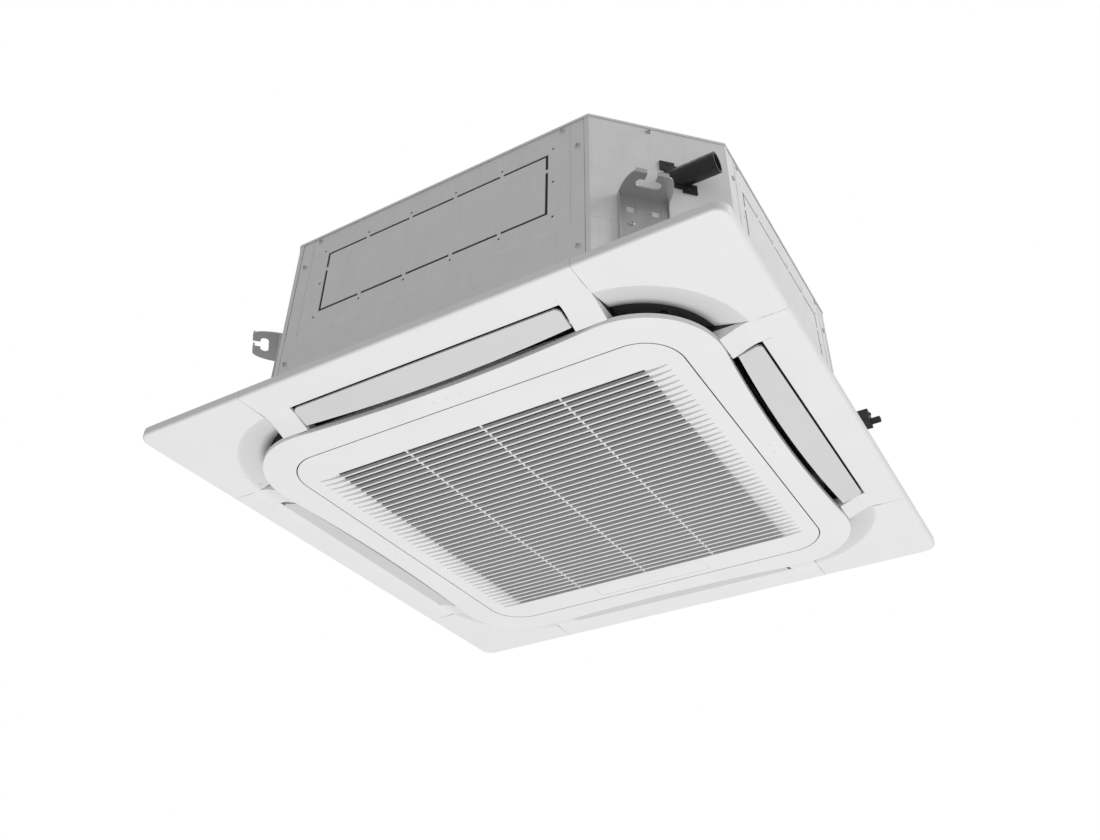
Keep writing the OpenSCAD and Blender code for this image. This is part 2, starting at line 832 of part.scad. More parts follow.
module fan_motor() {
    bearing = 14;
    color(steel) difference() {
        union() {
            rotate_extrude($fn = smooth) polygon(concat([[0, motor_z]],
                arc_pts([motor_r - bearing, motor_z + bearing], bearing, -90, 0),
                arc_pts([motor_r - bearing, motor_top - bearing], bearing, 0, 90), [[0, motor_top]]));
            for (a = [45:90:315]) rotate([0, 0, a]) difference() {
                union() {
                    translate([0, -damper_r - ear_rim, ear_z])
                        cube([motor_ear, 2 * (damper_r + ear_rim), ear_t]);
                    translate([motor_ear, 0, ear_z]) cylinder(r = damper_r + ear_rim, h = ear_t, $fn = 48);
                }
                translate([motor_ear, 0, 0]) rod(damper_r - groove, ear_t + 2 * over, ear_z - over);
            }
        }
        rod(shaft_r + pin_fit, motor_h - bearing, motor_z - over);
    }
}

module motor_dampers() {
    color(dark) for (a = [45:90:315]) rotate([0, 0, a]) translate([motor_ear, 0, 0]) difference() {
        union() {
            rod(damper_r, groove, ear_z - groove);
            rod(damper_r - groove, ear_t + groove, ear_z - groove);
            rod(damper_r, groove, ear_z + ear_t);
        }
        rod(stud_r, 3 * damper_h, ear_z - damper_h);
    }
}

// Studs that hang the motor from the top plate, each with its nuts
module motor_nuts() {
    nut_h = 5;
    nut_w = 13;
    stud_low = 12;
    color(steel) for (a = [45:90:315]) rotate([0, 0, a]) translate([motor_ear, 0, 0]) {
        rod(stud_r, casing_top - ear_z + stud_low, ear_z - stud_low);
        translate([0, 0, ear_z - groove - nut_h]) hex_nut(nut_w, nut_h);
        translate([0, 0, ear_z + ear_t + groove]) hex_nut(nut_w, nut_h);
        translate([0, 0, casing_top - sheet_t - nut_h]) hex_nut(nut_w, nut_h);
    }
}

module motor_shaft() {
    thread = 14;
    color(steel) rod(shaft_r, motor_z - bowl_z + 2 * motor_h / 3 + thread, bowl_z - thread);
}

// Outline of the fan's outer ring, seen in half section
module ring_section(t) {
    polygon(concat([[eye_r, fan_z]], arc_pts([fan_r, fan_z], fan_r - eye_r, 180, 90),
        [[fan_r, fan_z + fan_r - eye_r - t]], arc_pts([fan_r, fan_z], fan_r - eye_r - t, 90, 180)));
}

module turbo_fan() {
    hub_t = 8;
    bevel = 20;
    eye_lap = 12;
    color(dark) {
        difference() {
            rotate_extrude($fn = smooth) {
                polygon([[0, bowl_z], [bowl_r - bevel, bowl_z], [bowl_r + blade_t, bowl_z + bevel],
                    [bowl_r + blade_t, fan_top - blade_t], [fan_r, fan_top - blade_t], [fan_r, fan_top],
                    [bowl_r, fan_top], [bowl_r, bowl_z + bevel],
                    [bowl_r - bevel - blade_t, bowl_z + blade_t], [0, bowl_z + blade_t]]);
                polygon([[0, bowl_z], [3 * shaft_r, bowl_z], [2 * shaft_r, bowl_z + hub_t],
                    [0, bowl_z + hub_t]]);
            }
            rod(shaft_r, motor_h, bowl_z - over);
        }
        rotate_extrude($fn = smooth) ring_section(blade_t);
        // Blades, kept between the ring and the disc
        intersection() {
            slab(fan_z, fan_h) fan_blades();
            rotate_extrude($fn = smooth)
                polygon(concat([[eye_r - eye_lap, fan_top - blade_t / 2],
                    [eye_r - eye_lap, fan_z + fan_h / 3],
                    [eye_r, fan_z + fan_h / 4]],
                    arc_pts([fan_r, fan_z], fan_r - eye_r - blade_t / 2, 160, 90),
                    [[fan_r, fan_top - blade_t / 2]]));
        }
    }
}

module fan_blades() {
    curve_share = 0.62;
    place_shares = [0.66, 0.88];
    start_shares = [0.25, 1.1];
    reach_shares = [0.6, 0.7];
    curve_r = fan_r * curve_share;
    for (k = [0:blade_n - 1])
        rotate(360 * k / blade_n) translate([fan_r * place_shares.x, curve_r * place_shares.y])
        intersection() {
            difference() {
                circle(r = curve_r, $fn = 180);
                circle(r = curve_r - blade_t, $fn = 180);
            }
            translate([-fan_r * start_shares.x, -curve_r * start_shares.y])
                square([fan_r * reach_shares.x, curve_r * reach_shares.y]);
        }
}

module fan_nut() {
    nut_h = 10;
    color(steel) translate([0, 0, bowl_z - nut_h]) difference() {
        hex_nut(4 * shaft_r, nut_h);
        rod(shaft_r, nut_h + 2 * over, -over);
    }
}

mouth_r = eye_r - eye_gap;
mouth_out = fan_r;
flange_w = 28;
flange_r = fan_r + flange_w;

module bell_mouth() {
    flare = mouth_out - mouth_r;
    z0 = pan_z - skin_t;
    color(dark) rotate_extrude($fn = smooth)
        polygon(concat([[flange_r, z0], [flange_r, pan_z], [mouth_out, pan_z]],
            arc_pts([mouth_out, pan_z + flare - skin_t], flare - skin_t, -90, -180),
            [[mouth_r + skin_t, fan_z + eye_gap], [mouth_r, fan_z + eye_gap]],
            arc_pts([mouth_out, pan_z + flare - skin_t], flare, -180, -90)));
}

// Drain pan, pump and outlet

module drain_pan() {
    way = 22;
    sump_gap = 4;
    color(foam) difference() {
        slab(casing_z, pan_lift + pan_h) intersection() {
            casing_plan(-sheet_t - lining_t - fit_gap);
            difference() {
                square(big, center = true);
                for (k = [0:3]) rotate(90 * k)
                    translate([-outlet_half, -big - pan_half]) square([outlet_l, big]);
            }
        }
        // Hollow below, for the bell mouth and the electrical box
        slab(casing_z - over, pan_lift + over) round_square(pan_half - way, grille_r);
        rod(mouth_out + fit_gap, pan_h + over * 2, pan_z - over);
        // Channel under the coil
        slab(channel_z, channel_h + over) difference() {
            round_square(coil_half + way / 4, coil_r);
            round_square(coil_half - coil_t - way / 4, coil_r - coil_t);
        }
        // The corner feet stand on the casing's flanges
        slab(casing_z - over, sheet_t + over) difference() {
            casing_plan(0);
            casing_plan(-3 * lining_t - fit_gap);
        }
        // Sumps for the pump and the float, and room for the pipes
        translate([pump_x, -drain_y, channel_z]) cylinder(r = pump_r + sump_gap, h = pan_h, $fn = smooth);
        translate([float_x, float_y, channel_z]) cylinder(r = float_r + sump_gap, h = pan_h, $fn = smooth);
        for (p = [[gas_y, gas_r], [pipe_y, liquid_r]])
            translate([header_x, p[0], coil_z]) cylinder(r = p[1] + over, h = pan_h, $fn = smooth);
    }
}

pump_top = drain_z + 2 * drain_r;

module drain_pump() {
    neck = 14;
    wall = 2.5;
    foot_share = 0.6;
    color(pale) difference() {
        union() {
            translate([pump_x, -drain_y, 0]) rotate_extrude($fn = smooth)
                polygon([[0, channel_z], [pump_r * foot_share, channel_z], [pump_r, channel_z + neck],
                    [pump_r, channel_z + 3 * neck], [pump_r / 2, channel_z + 4 * neck],
                    [pump_r / 2, drain_z - drain_r - neck], [pump_r, drain_z - drain_r - neck / 2],
                    [pump_r, pump_top - neck / 2], [pump_r - neck / 2, pump_top], [0, pump_top]]);
            translate([pump_x, -drain_y, drain_z]) rotate([0, 90, 0])
                cylinder(r = drain_bore_r, h = pump_r + neck, $fn = smooth);
        }
        drain_way(drain_bore_r - wall);
    }
}

float_out = 4;
float_side = 12;
float_x = drain_y + float_out;
float_y = float_side - pump_x;
float_h = 16;
stem_r = 3;
stem_foot = 2.5;
stem_top = channel_z + stem_foot + float_h + float_travel;

module float_stem() {
    foot_share = 2.4;
    head_in = 1;
    color(pale) translate([float_x, float_y, 0]) {
        rod(stem_r, stem_top + stem_foot - channel_z, channel_z);
        rod(stem_r * foot_share, stem_foot, channel_z);
        rod(float_r - head_in, 2 * stem_foot, stem_top);
    }
}

module float() {
    color(white) translate([float_x, float_y, channel_z + stem_foot]) difference() {
        rod(float_r, float_h);
        rod(stem_r + pin_fit, float_h + 2 * over, -over);
    }
}

module drain_outlet() {
    end = casing_half + spigot_out;
    start = pump_x + pump_r + over;
    lug = 9;
    lug_l = 22;
    flange_rim = 6;
    color(dark) difference() {
        union() {
            translate([start, -drain_y, drain_z]) rotate([0, 90, 0])
                cylinder(r = drain_r - drain_slim, h = end - start, $fn = smooth);
            translate([end - drain_end_l, -drain_y, drain_z]) rotate([0, 90, 0])
                cylinder(r = drain_r, h = drain_end_l, $fn = smooth);
            at_corner(0) translate([drain_u, 0, drain_z]) rotate([90, 0, 0]) {
                cylinder(r = drain_r + flange_rim, h = sheet_t * 2, $fn = smooth);
                for (a = [130, -50]) rotate([0, 0, a]) difference() {
                    union() {
                        translate([0, -lug, 0]) cube([drain_r + lug, 2 * lug, 2 * sheet_t]);
                        translate([drain_r + lug, 0, 0]) rotate([0, 0, -a])
                            translate([-lug_l / 2, -lug, 0]) cube([lug_l, 2 * lug, 2 * sheet_t]);
                    }
                    translate([drain_r + lug, 0, -over]) cylinder(r = screw_r, h = 4 * sheet_t, $fn = 32);
                }
            }
        }
        translate([start - over, -drain_y, drain_z]) rotate([0, 90, 0])
            cylinder(r = drain_bore_r, h = casing_half, $fn = smooth);
    }
}

spigot_out = 4;
drain_end_l = 35;
drain_slim = 0.5;
drain_u = ((casing_w - corner_cut - drain_y) - drain_y) / sqrt(2);

// Electrical box

box_in = 30;
box_y = centre_half - border_w - box_w - box_in;
box_top = pan_z - skin_t;
box_z = box_top - box_h;

module control_box() {
    ear = 10;
    color(steel) {
        difference() {
            translate([-box_l / 2, box_y, box_z + box_t]) cube([box_l, box_w, box_h - box_t]);
            translate([box_t - box_l / 2, box_y + box_t, box_z])
                cube([box_l - 2 * box_t, box_w - 2 * box_t, box_h - box_t]);
        }
        for (m = [0, 1]) mirror([m, 0, 0]) {
            translate([box_l / 2 - box_t, box_y + box_w / 4, box_top - ear])
                cube([box_t, box_w / 2, pan_z - box_top + ear]);
            translate([box_l / 2 - box_t, box_y + box_w / 4, pan_z - box_t]) cube([ear, box_w / 2, box_t]);
        }
    }
}

module control_lid() {
    lid_h = 12;
    color(pale) difference() {
        translate([-box_l / 2 - box_t, box_y - box_t, box_z])
            cube([box_l + 2 * box_t, box_w + 2 * box_t, lid_h]);
        translate([-box_l / 2, box_y, box_z + box_t]) cube([box_l, box_w, box_h]);
    }
}

// Circuit board with its posts, a relay, a plug strip, a heat sink and a capacitor
module control_board() {
    board_t = 1.6;
    board_in = 6;
    board_share = 0.62;
    board_l = box_l * board_share;
    board_w = box_w - 2 * board_in;
    foot_h = 5;
    foot_r = 2.5;
    low = box_top - box_t - foot_h - board_t;
    // Place along and across the board, then length, width and height
    block_shares = [[0.09, 0.18, 0.12, 0.45, 0.3], [0.42, 0.18, 0.15, 0.27, 0.12],
        [0.65, 0.14, 0.06, 0.68, 0.24]];
    drum_shares = [0.3, 0.4, 0.16, 0.35];
    color([0.1, 0.4, 0.2]) translate([2 * board_in - box_l / 2, box_y + board_in, low]) {
        cube([board_l, board_w, board_t]);
        for (x = [foot_h, board_l - foot_h], y = [foot_h, board_w - foot_h])
            translate([x, y, board_t]) cylinder(r = foot_r, h = foot_h, $fn = 24);
        for (b = block_shares)
            translate([b[0] * board_l, b[1] * board_w, -b[4] * box_h])
                cube([b[2] * board_l, b[3] * board_w, b[4] * box_h]);
        translate([drum_shares[0] * board_l, drum_shares[1] * board_w, -drum_shares[3] * box_h])
            cylinder(r = drum_shares[2] * board_w, h = drum_shares[3] * box_h, $fn = 32);
    }
}

module terminal_block() {
    strip_l = 76;
    strip_w = 26;
    strip_h = 18;
    strip_in = 14;
    way_n = 5;
    way_r = 4;
    way_deep = 6;
    low = box_top - box_t - strip_h;
    color(dark) translate([box_l / 2 - strip_in - strip_l, box_y + (box_w - strip_w) / 2, low])
        difference() {
            cube([strip_l, strip_w, strip_h]);
            for (i = [0:way_n - 1]) translate([(i + 0.5) * strip_l / way_n, strip_w / 2, -over])
                cylinder(r = way_r, h = way_deep + over, $fn = 32);
        }
}

// Panel

// Half section of the rim, w measured outwards from the panel's corner centres
module rim_section() {
    polygon(concat([[0, rim_z + skin_t], [0, rim_z]],
        arc_pts([panel_r - rim_edge_r, rim_z + rim_edge_r], rim_edge_r, -90, 0),
        [[panel_r, 0], [panel_r - skin_t, 0], [panel_r - skin_t, rim_z + skin_t]]));
}

// Section of the rim's flat and its fold, v measured outwards from the middle
module fold_section() {
    fold_shares = [[0, 0], [0.2, 0.06], [0.4, 0.22], [0.7, 0.6]];
    low = [for (p = fold_shares) [recess_half + fold_w * (1 - p.x), rim_z + fold_rise * p.y]];
    high = [for (i = [len(low) - 1:-1:0]) low[i] + [0, skin_t]];
    polygon(concat([[panel_half - panel_r, rim_z]], low,
        [[recess_half, rim_z + fold_rise], [recess_half, deck_top], [recess_half + skin_t, deck_top],
        [recess_half + skin_t, rim_z + fold_rise + skin_t]],
        high, [[panel_half - panel_r, rim_z + skin_t]]));
}

// Runs a section drawn as outward distance and height along the front side
module run(length) {
    translate([length / 2, 0, 0]) rotate([90, 0, -90]) linear_extrude(length) children();
}

bridge_end = centre_half + centre_bulge + seam / 2;
bridge_t = 1.8;
bridge_fall = 12;
// Along a bridge from the rim's flat inwards: share of its length, share of its fall
bridge_shares = [[0, 0], [0.1, 0.04], [0.23, 0.1], [0.36, 0.075], [0.45, 0], [0.545, -0.135],
    [0.66, -0.34], [0.79, -0.6], [1, -1]];
bridge_low = [for (p = bridge_shares)
    [recess_half + fold_w + (bridge_end - recess_half - fold_w) * p.x, rim_z + bridge_fall * p.y]];
duct_z = face_z + frame_wall_h + seam;

// Upright plate of a bridge, drawn as outward distance and height
module bridge_section() {
    polygon(concat(bridge_low, [[bridge_end, duct_z], [duct_in, duct_z], [duct_in, deck_top],
        [recess_half + skin_t, deck_top], [recess_half + skin_t, rim_z + skin_t],
        [recess_half + fold_w, rim_z + skin_t]]));
}

module bridge_skin() {
    high = [for (i = [len(bridge_low) - 1:-1:0]) bridge_low[i] + [0, bridge_t]];
    polygon(concat([[panel_half - panel_r, rim_z]], bridge_low, high,
        [[panel_half - panel_r, rim_z + bridge_t]]));
}

pivot_v = recess_half - pivot_in;
pivot_z = rim_z - pivot_drop;

module pivot_place(u) {
    translate([u, -pivot_v, pivot_z]) rotate([0, 90, 0]) children();
}

module panel_frame() {
    bridge_w = cover_seam - outlet_half - seam;
    deck_half = recess_half + skin_t;
    color(white) difference() {
        union() {
            for (k = [0:3]) turn_side(k) {
                run(2 * cover_seam - seam) translate([panel_half - panel_r, 0]) rim_section();
                run(outlet_l + skin_t) fold_section();
                // Inner wall of the outlet
                run(2 * cover_seam - seam) translate([duct_in, duct_z])
                    square([skin_t, deck_top - duct_z]);
                for (s = [-1, 1]) {
                    for (u = [outlet_half + skin_t / 2, outlet_half + bridge_w - skin_t / 2])
                        translate([s * u, 0, 0]) run(skin_t) bridge_section();
                    translate([s * (outlet_half + bridge_w / 2), 0, 0]) run(bridge_w) bridge_skin();
                }
            }
            slab(deck_gap, deck_t) difference() {
                round_square(deck_half, panel_r);
                round_square(deck_in, grille_r);
                intersection() {
                    for (k = [0:3]) rotate(90 * k)
                        translate([-outlet_half, -recess_half])
                            square([outlet_l, recess_half - duct_in - skin_t]);
                    casing_plan(-sheet_t - lining_t);
                }
            }
        }
        for (k = [0:3]) turn_side(k) for (s = [-1, 1])
            pivot_place(s * (outlet_half + skin_t / 2) - skin_t)
                cylinder(r = vane_pin_r + pin_fit, h = 2 * skin_t, $fn = 64);
        bolt_places() rod(bolt_r, 3 * deck_t, 0);
    }
}

module panel_bolts() {
    head_h = 4;
    color(dark) bolt_places() {
        rod(bolt_r, casing_z + sheet_t - deck_gap, deck_gap);
        translate([0, 0, deck_gap - head_h]) hex_nut(bolt_head_w, head_h);
    }
}

bolt_head_w = 10;
deck_lap = 26;
deck_in = centre_half - border_w - deck_lap;

// A corner cover: the rim's corner and the scoop behind it
module corner_cover(k) {
    c = recess_c;
    lip_z = rim_z + scoop_h;
    lo = cover_seam;
    turn_side(k) mirror([0, 1, 0]) {
        intersection() {
            union() {
                // Outer corner and its two straight runs
                translate([panel_half - panel_r, panel_half - panel_r, 0])
                    rotate_extrude(angle = 90, $fn = smooth) rim_section();
                for (m = [0, 1]) mirror([m, -m, 0])
                    translate([panel_half - panel_r, lo, 0]) rotate([90, 0, 180]) mirror([1, 0, 0])
                        linear_extrude(panel_half - panel_r - lo) rim_section();
                // Flat underside
                slab(rim_z, skin_t) difference() {
                    translate([lo, lo]) square(panel_half - panel_r - lo);
                    translate([c, c]) circle(r = recess_r, $fn = 2 * smooth);
                }
                // Scoop up to the lip
                translate([c, c, 0]) rotate_extrude(angle = 90, $fn = 2 * smooth)
                    scoop_section(recess_r, lip_r, lip_z);
            }
            translate([lo, lo, rim_z - over]) cube(big);
        }
        // Posts that snap into the deck
        for (p = [[lo + 2 * post_r, post_far], [post_far, lo + 2 * post_r], [post_far, post_far]])
            translate([p.x, p.y, 0]) rod(post_r, deck_gap - rim_z - skin_t, rim_z + skin_t);
    }
}

post_r = 5;
post_gap = 2;
post_far = recess_half - post_r - post_gap;
recess_shift = 2;
recess_c = recess_half - recess_r + recess_shift;
lip_r = recess_r - scoop_w;
scoop_n = 8;
scoop_share = 1.15;

module scoop_section(from_r, to_r, to_z) {
    low = [for (t = [0:scoop_n]) scoop_point(t / scoop_n, from_r, to_r, to_z)];
    high = [for (t = [scoop_n:-1:0]) scoop_point(t / scoop_n, from_r, to_r, to_z) + [0, skin_t]];
    polygon(concat([[from_r + over, rim_z], [from_r, rim_z]], low, high, [[from_r + over, rim_z + skin_t]]));
}

scoop_step = [3, 1.6];

// Points from the small step at the recess edge, t = 0, to the lip, t = 1, a little steeper at the lip
function scoop_point(t, from_r, to_r, to_z) =
    [(from_r - scoop_step.x) * (1 - t) + to_r * t,
        rim_z + scoop_step.y + (to_z - rim_z - scoop_step.y) * pow(t, scoop_share)];

module corner_cover_drain() { color(white) corner_cover(0); }
module corner_cover_pipe() { color(white) corner_cover(1); }
module corner_cover_rear() { color(white) corner_cover(2); }
module corner_cover_left() { color(white) corner_cover(3); }

module centre_plan(d = 0) {
    difference() {
        round_square(centre_half + centre_bulge + d, centre_r + d);
        for (k = [0:3]) rotate(90 * k)
            translate([0, -(centre_half + bow_r)]) circle(r = bow_r - d, $fn = 1440);
    }
}

swing_gap = 4.5;
knuckle_r = 4;
knuckle_w = 8;
hinge_y = grille_half + hinge_out;
hinge_z = face_z + hinge_h;
catch_in = 8;
catch_y = grille_half - catch_in;
marks = [3, 2, 1, 4];

module centre_frame() {
    wall_in = grille_hole + swing_gap;
    lip_t = 2.2;
    window_gap = 1;
    color(white) {
        difference() {
            union() {
                slab(face_z, frame_wall_h) centre_plan();
                slab(face_z, deck_gap - face_z)
                    round_square(wall_in + skin_t, grille_r + swing_gap + skin_t);
            }
            slab(face_z - over, big) round_square(grille_hole, grille_r + grille_gap / 2);
            slab(face_z + lip_t, big) round_square(wall_in, grille_r + swing_gap);
            slab(face_z + skin_t, frame_wall_h) difference() {
                centre_plan(-skin_t);
                round_square(wall_in + skin_t, grille_r + swing_gap + skin_t);
            }
            // Windows in the wall for the hinge arms
            for (s = [-1, 1])
                translate([s * (hinge_x - ear_w / 2) - ear_w / 2 - window_gap, wall_in - over,
                        face_z + skin_t])
                    cube([ear_w + 2 * window_gap, skin_t + 2 * over, hinge_h + neck_h + arm_t]);
        }
        // Hinge knuckles that stand on the border's skin
        for (s = [-1, 1]) translate([s * (hinge_x + knuckle_w / 2 + fit_gap), 0, 0]) difference() {
            translate([-knuckle_w / 2, 0, 0]) rotate([90, 0, 90]) linear_extrude(knuckle_w) {
                translate([hinge_y, hinge_z]) circle(r = knuckle_r, $fn = 48);
                translate([hinge_y - knuckle_r, face_z + skin_t / 2])
                    square([2 * knuckle_r, hinge_h - skin_t / 2]);
            }
            translate([-knuckle_w, hinge_y, hinge_z]) rotate([0, 90, 0])
                cylinder(r = hinge_r + pin_fit, h = 2 * knuckle_w, $fn = 48);
        }
        // Raised marks that number the four sides
        for (k = [0:3]) turn_side(k) for (i = [0:marks[k] - 1])
            translate([(i - (marks[k] - 1) / 2) * mark_pitch, -centre_half + border_w / 2,
                    face_z - mark_r / 4])
                cylinder(r = mark_r, h = mark_r, $fn = 32);
    }
}

// Vanes

vane_out = recess_half - vane_gap;
vane_z = rim_z - vane_drop;
vane_half = outlet_half - vane_end_gap;

module vane(k) {
    ear_r = 6;
    ear_t = 3;
    turn_side(k) {
        translate([0, -vane_out, vane_z]) rotate([-vane_tilt, 0, 0]) linear_extrude(vane_t) vane_cut();
        for (s = [-1, 1]) {
            // Ear from the plate up to the pin
            translate([s * (vane_half - ear_t / 2) - ear_t / 2, -pivot_v, 0]) rotate([90, 0, 90])
                linear_extrude(ear_t) {
                    translate([0, pivot_z]) circle(r = ear_r, $fn = 48);
                    translate([0, vane_z - (vane_out - pivot_v) * tan(vane_tilt) + vane_t / 2])
                        translate([-ear_r, 0]) square([2 * ear_r, pivot_z - vane_z
                            + (vane_out - pivot_v) * tan(vane_tilt) - vane_t / 2]);
                }
            pivot_place(s * (vane_half + pin_l / 2 - over) - pin_l / 2 - over)
                cylinder(r = vane_pin_r, h = pin_l + 2 * over, $fn = 64);
        }
    }
}

pin_over = 4;
pin_l = vane_end_gap + skin_t + pin_over;

// The plate's outline, cut along the bow that follows the centre frame
module vane_cut() {
    difference() {
        union() {
            translate([-vane_half, vane_corner_r]) square([2 * vane_half, outlet_w]);
            translate([vane_corner_r - vane_half, 0])
                square([2 * (vane_half - vane_corner_r), outlet_w]);
            for (s = [-1, 1]) translate([s * (vane_half - vane_corner_r), vane_corner_r])
                circle(r = vane_corner_r, $fn = smooth);
        }
        translate([0, vane_out - centre_half - vane_in_gap]) bow_cut();
    }
}

// Everything inward of an arc that is furthest in at its middle
module bow_cut() {
    r = bow_r + vane_in_gap;
    difference() {
        translate([-vane_half - over, -outlet_w]) square([2 * vane_half + 2 * over, 3 * outlet_w]);
        translate([0, -r]) circle(r = r, $fn = 1440);
    }
}

module vane_front() { color(pale) vane(0); }
module vane_right() { color(pale) vane(1); }
module vane_back() { color(pale) vane(2); }
module vane_left() { color(pale) vane(3); }

module vane_motor(k) {
    u0 = outlet_half + skin_t;
    offset_z = 7.2;
    boss_l = 6;
    boss_wall = 0.8;
    color(white) turn_side(k) difference() {
        union() {
            pivot_place(u0 + boss_l) translate([-offset_z, 0, 0])
                cylinder(r = vane_motor_r, h = vane_motor_l, $fn = 64);
            pivot_place(u0 + fit_gap) cylinder(r = vane_pin_r + boss_wall, h = boss_l, $fn = 64);
        }
        pivot_place(u0 - over) cylinder(r = vane_pin_r + pin_fit, h = boss_l + over, $fn = 64);
    }
}

module vane_motor_front() { vane_motor(0); }
module vane_motor_right() { vane_motor(1); }
module vane_motor_back() { vane_motor(2); }
module vane_motor_left() { vane_motor(3); }

// Intake grille

slot_half = slot_l / 2;
finger_deep = 5;
tip_deep = 1.2;
// A finger's width along its length, as shares of the slot's width
finger_shares = [1, 0.93, 0.8, 0.6, 0.35, 0.08];

// One slot with its two leaf-shaped fingers, cut from the plate's lower face
module slot_cut() {
    tip = slot_half + finger_l;
    last = len(finger_shares) - 1;
    side = [for (i = [0:last]) [slot_half + finger_l * i / last, finger_shares[i] * slot_w / 2]];
    half = concat(side, [for (i = [last:-1:0]) [side[i].x, -side[i].y]]);
    intersection() {
        translate([0, 0, -over]) linear_extrude(bar_h + 2 * over)
            polygon(concat(half, -half));
        translate([0, slot_w, 0]) rotate([90, 0, 0]) linear_extrude(2 * slot_w)
            polygon([[-tip - over, -2 * over], [-tip - over, tip_deep], [-slot_half, finger_deep],
                [-slot_half, bar_h + 2 * over], [slot_half, bar_h + 2 * over],
                [slot_half, finger_deep], [tip + over, tip_deep], [tip + over, -2 * over]]);
    }
}

module intake_grille() {
    field = slot_pitch * (slot_n - 1) + slot_w;
    field_half = field / 2;
    pad_end = 4;
    pad_side = finger_l + pad_end;
    pad = slot_half + pad_side;
    color(white) {
        difference() {
            union() {
                slab(face_z, edge_t) round_square(grille_half, grille_r - grille_gap / 2);
                slab(face_z, grille_t) round_square(grille_half - edge_in, grille_r - edge_in);
                translate([-pad, -field_half - pad_end, face_z])
                    cube([2 * pad, field + 2 * pad_end, bar_h]);
            }
            for (i = [0:slot_n - 1])
                translate([0, (i - (slot_n - 1) / 2) * slot_pitch, face_z]) slot_cut();
            translate([-plate_w / 2 - fit_gap, plate_y - plate_d / 2 - fit_gap, face_z - over])
                cube([plate_w + 2 * fit_gap, plate_d + 2 * fit_gap, plate_t + over]);
        }
        for (i = [-1:1])
            translate([i * rib_pitch - rib_w / 2, -field_half - over, face_z + rib_sink])
                cube([rib_w, field + 2 * over, bar_h - rib_sink]);
        // Hinge arms and pins
        for (s = [-1, 1]) {
            translate([s * (hinge_x - ear_w / 2) - ear_w / 2, 0, 0]) rotate([90, 0, 90])
                linear_extrude(ear_w) translate([hinge_y, hinge_z]) hinge_arm();
            translate([s * (hinge_x + knuckle_w / 2) - knuckle_w / 2 - over, hinge_y, hinge_z])
                rotate([0, 90, 0]) cylinder(r = hinge_r, h = knuckle_w + 2 * over, $fn = 48);
            // Striker tabs for the catches
            translate([s * catch_x - striker_w / 2, -catch_y, face_z + grille_t / 2])
                cube([striker_w, skin_t, striker_h]);
            // Clips that hold the filter's edge
            for (y = [-field_half / 2, field_half / 2])
                translate([s * (slot_half + clip_t / 2) - clip_t / 2, y - clip_w / 2, face_z + bar_h / 2])
                    cube([clip_t, clip_w, bar_h / 2 + filter_t]);
        }
    }
}

ear_w = 4;
ear_r = 3;
arm_t = 3.5;

// Swan-necked arm, drawn from the hinge: up, inwards over the frame's lip and down
module hinge_arm() {
    low = grille_t / 2 - hinge_h;
    circle(r = ear_r, $fn = 48);
    translate([-arm_t / 2, 0]) square([arm_t, neck_h + arm_t / 2]);
    translate([-neck_l - arm_t / 2, neck_h - arm_t / 2]) square([neck_l + arm_t, arm_t]);
    translate([-neck_l - arm_t / 2, low]) square([arm_t, neck_h + arm_t / 2 - low]);
}

striker_w = 16;
striker_h = 15;
clip_t = 2;
clip_w = 20;
plate_y = 294;
plate_t = 1;

module blank_plate() {
    sink = 0.1;
    color(white) translate([-plate_w / 2, plate_y - plate_d / 2, face_z + sink])
        cube([plate_w, plate_d, plate_t - sink]);
}

module air_filter() {
    half = slot_half - fit_gap;
    mesh_t = 1;
    rib = 4;
    cell = 2 * half / 4;
    color(dark) translate([0, 0, face_z + bar_h]) {
        linear_extrude(filter_t) difference() {
            square(2 * half, center = true);
            square(2 * (half - filter_edge), center = true);
        }
        linear_extrude(mesh_t) square(2 * half - filter_edge, center = true);
        for (i = [-1:1], a = [0, 90]) rotate([0, 0, a])
            translate([i * cell - rib / 2, -half + filter_edge / 2, 0])
                cube([rib, 2 * half - filter_edge, filter_t - mesh_t]);
    }
}

module grille_catches() {
    wall_t = 2.5;
    clear = 0.4;
    deep = skin_t + 2 * clear;
    color(pale) for (s = [-1, 1]) translate([s * catch_x, -catch_y, 0]) difference() {
        translate([-striker_w / 2 - wall_t - clear, -clear - wall_t, hinge_z])
            cube([striker_w + 2 * (wall_t + clear), deep + 2 * wall_t, deck_gap - hinge_z]);
        translate([-striker_w / 2 - clear, -clear, hinge_z - over])
            cube([striker_w + 2 * clear, deep, striker_h - hinge_h + grille_t + over]);
    }
}

module panel_seal() {
    side = duct_in + skin_t;
    color(foam) slab(deck_top, casing_z - deck_top) difference() {
        round_square(lining_in + lining_t / 2, grille_r);
        round_square(duct_in - lining_t, grille_r);
        for (k = [0:3]) rotate(90 * k)
            translate([-outlet_half, -lining_in]) square([outlet_l, lining_in - side]);
        bolt_places() circle(r = bolt_r, $fn = smooth);
    }
    // Pads under the deck, behind the lips of the corner covers
    color(foam) slab(deck_gap - pad_t, pad_t) difference() {
        for (k = [0:3]) rotate(90 * k) intersection() {
            translate([recess_c, recess_c]) difference() {
                circle(r = lip_r - seam, $fn = 2 * smooth);
                circle(r = pad_in, $fn = 2 * smooth);
            }
            translate([cover_seam + seam, cover_seam + seam]) square(big);
        }
        bolt_places() circle(r = bolt_head_w / sqrt(3) + seam, $fn = smooth);
    }
}

pad_t = 1.4;
pad_in = 90;

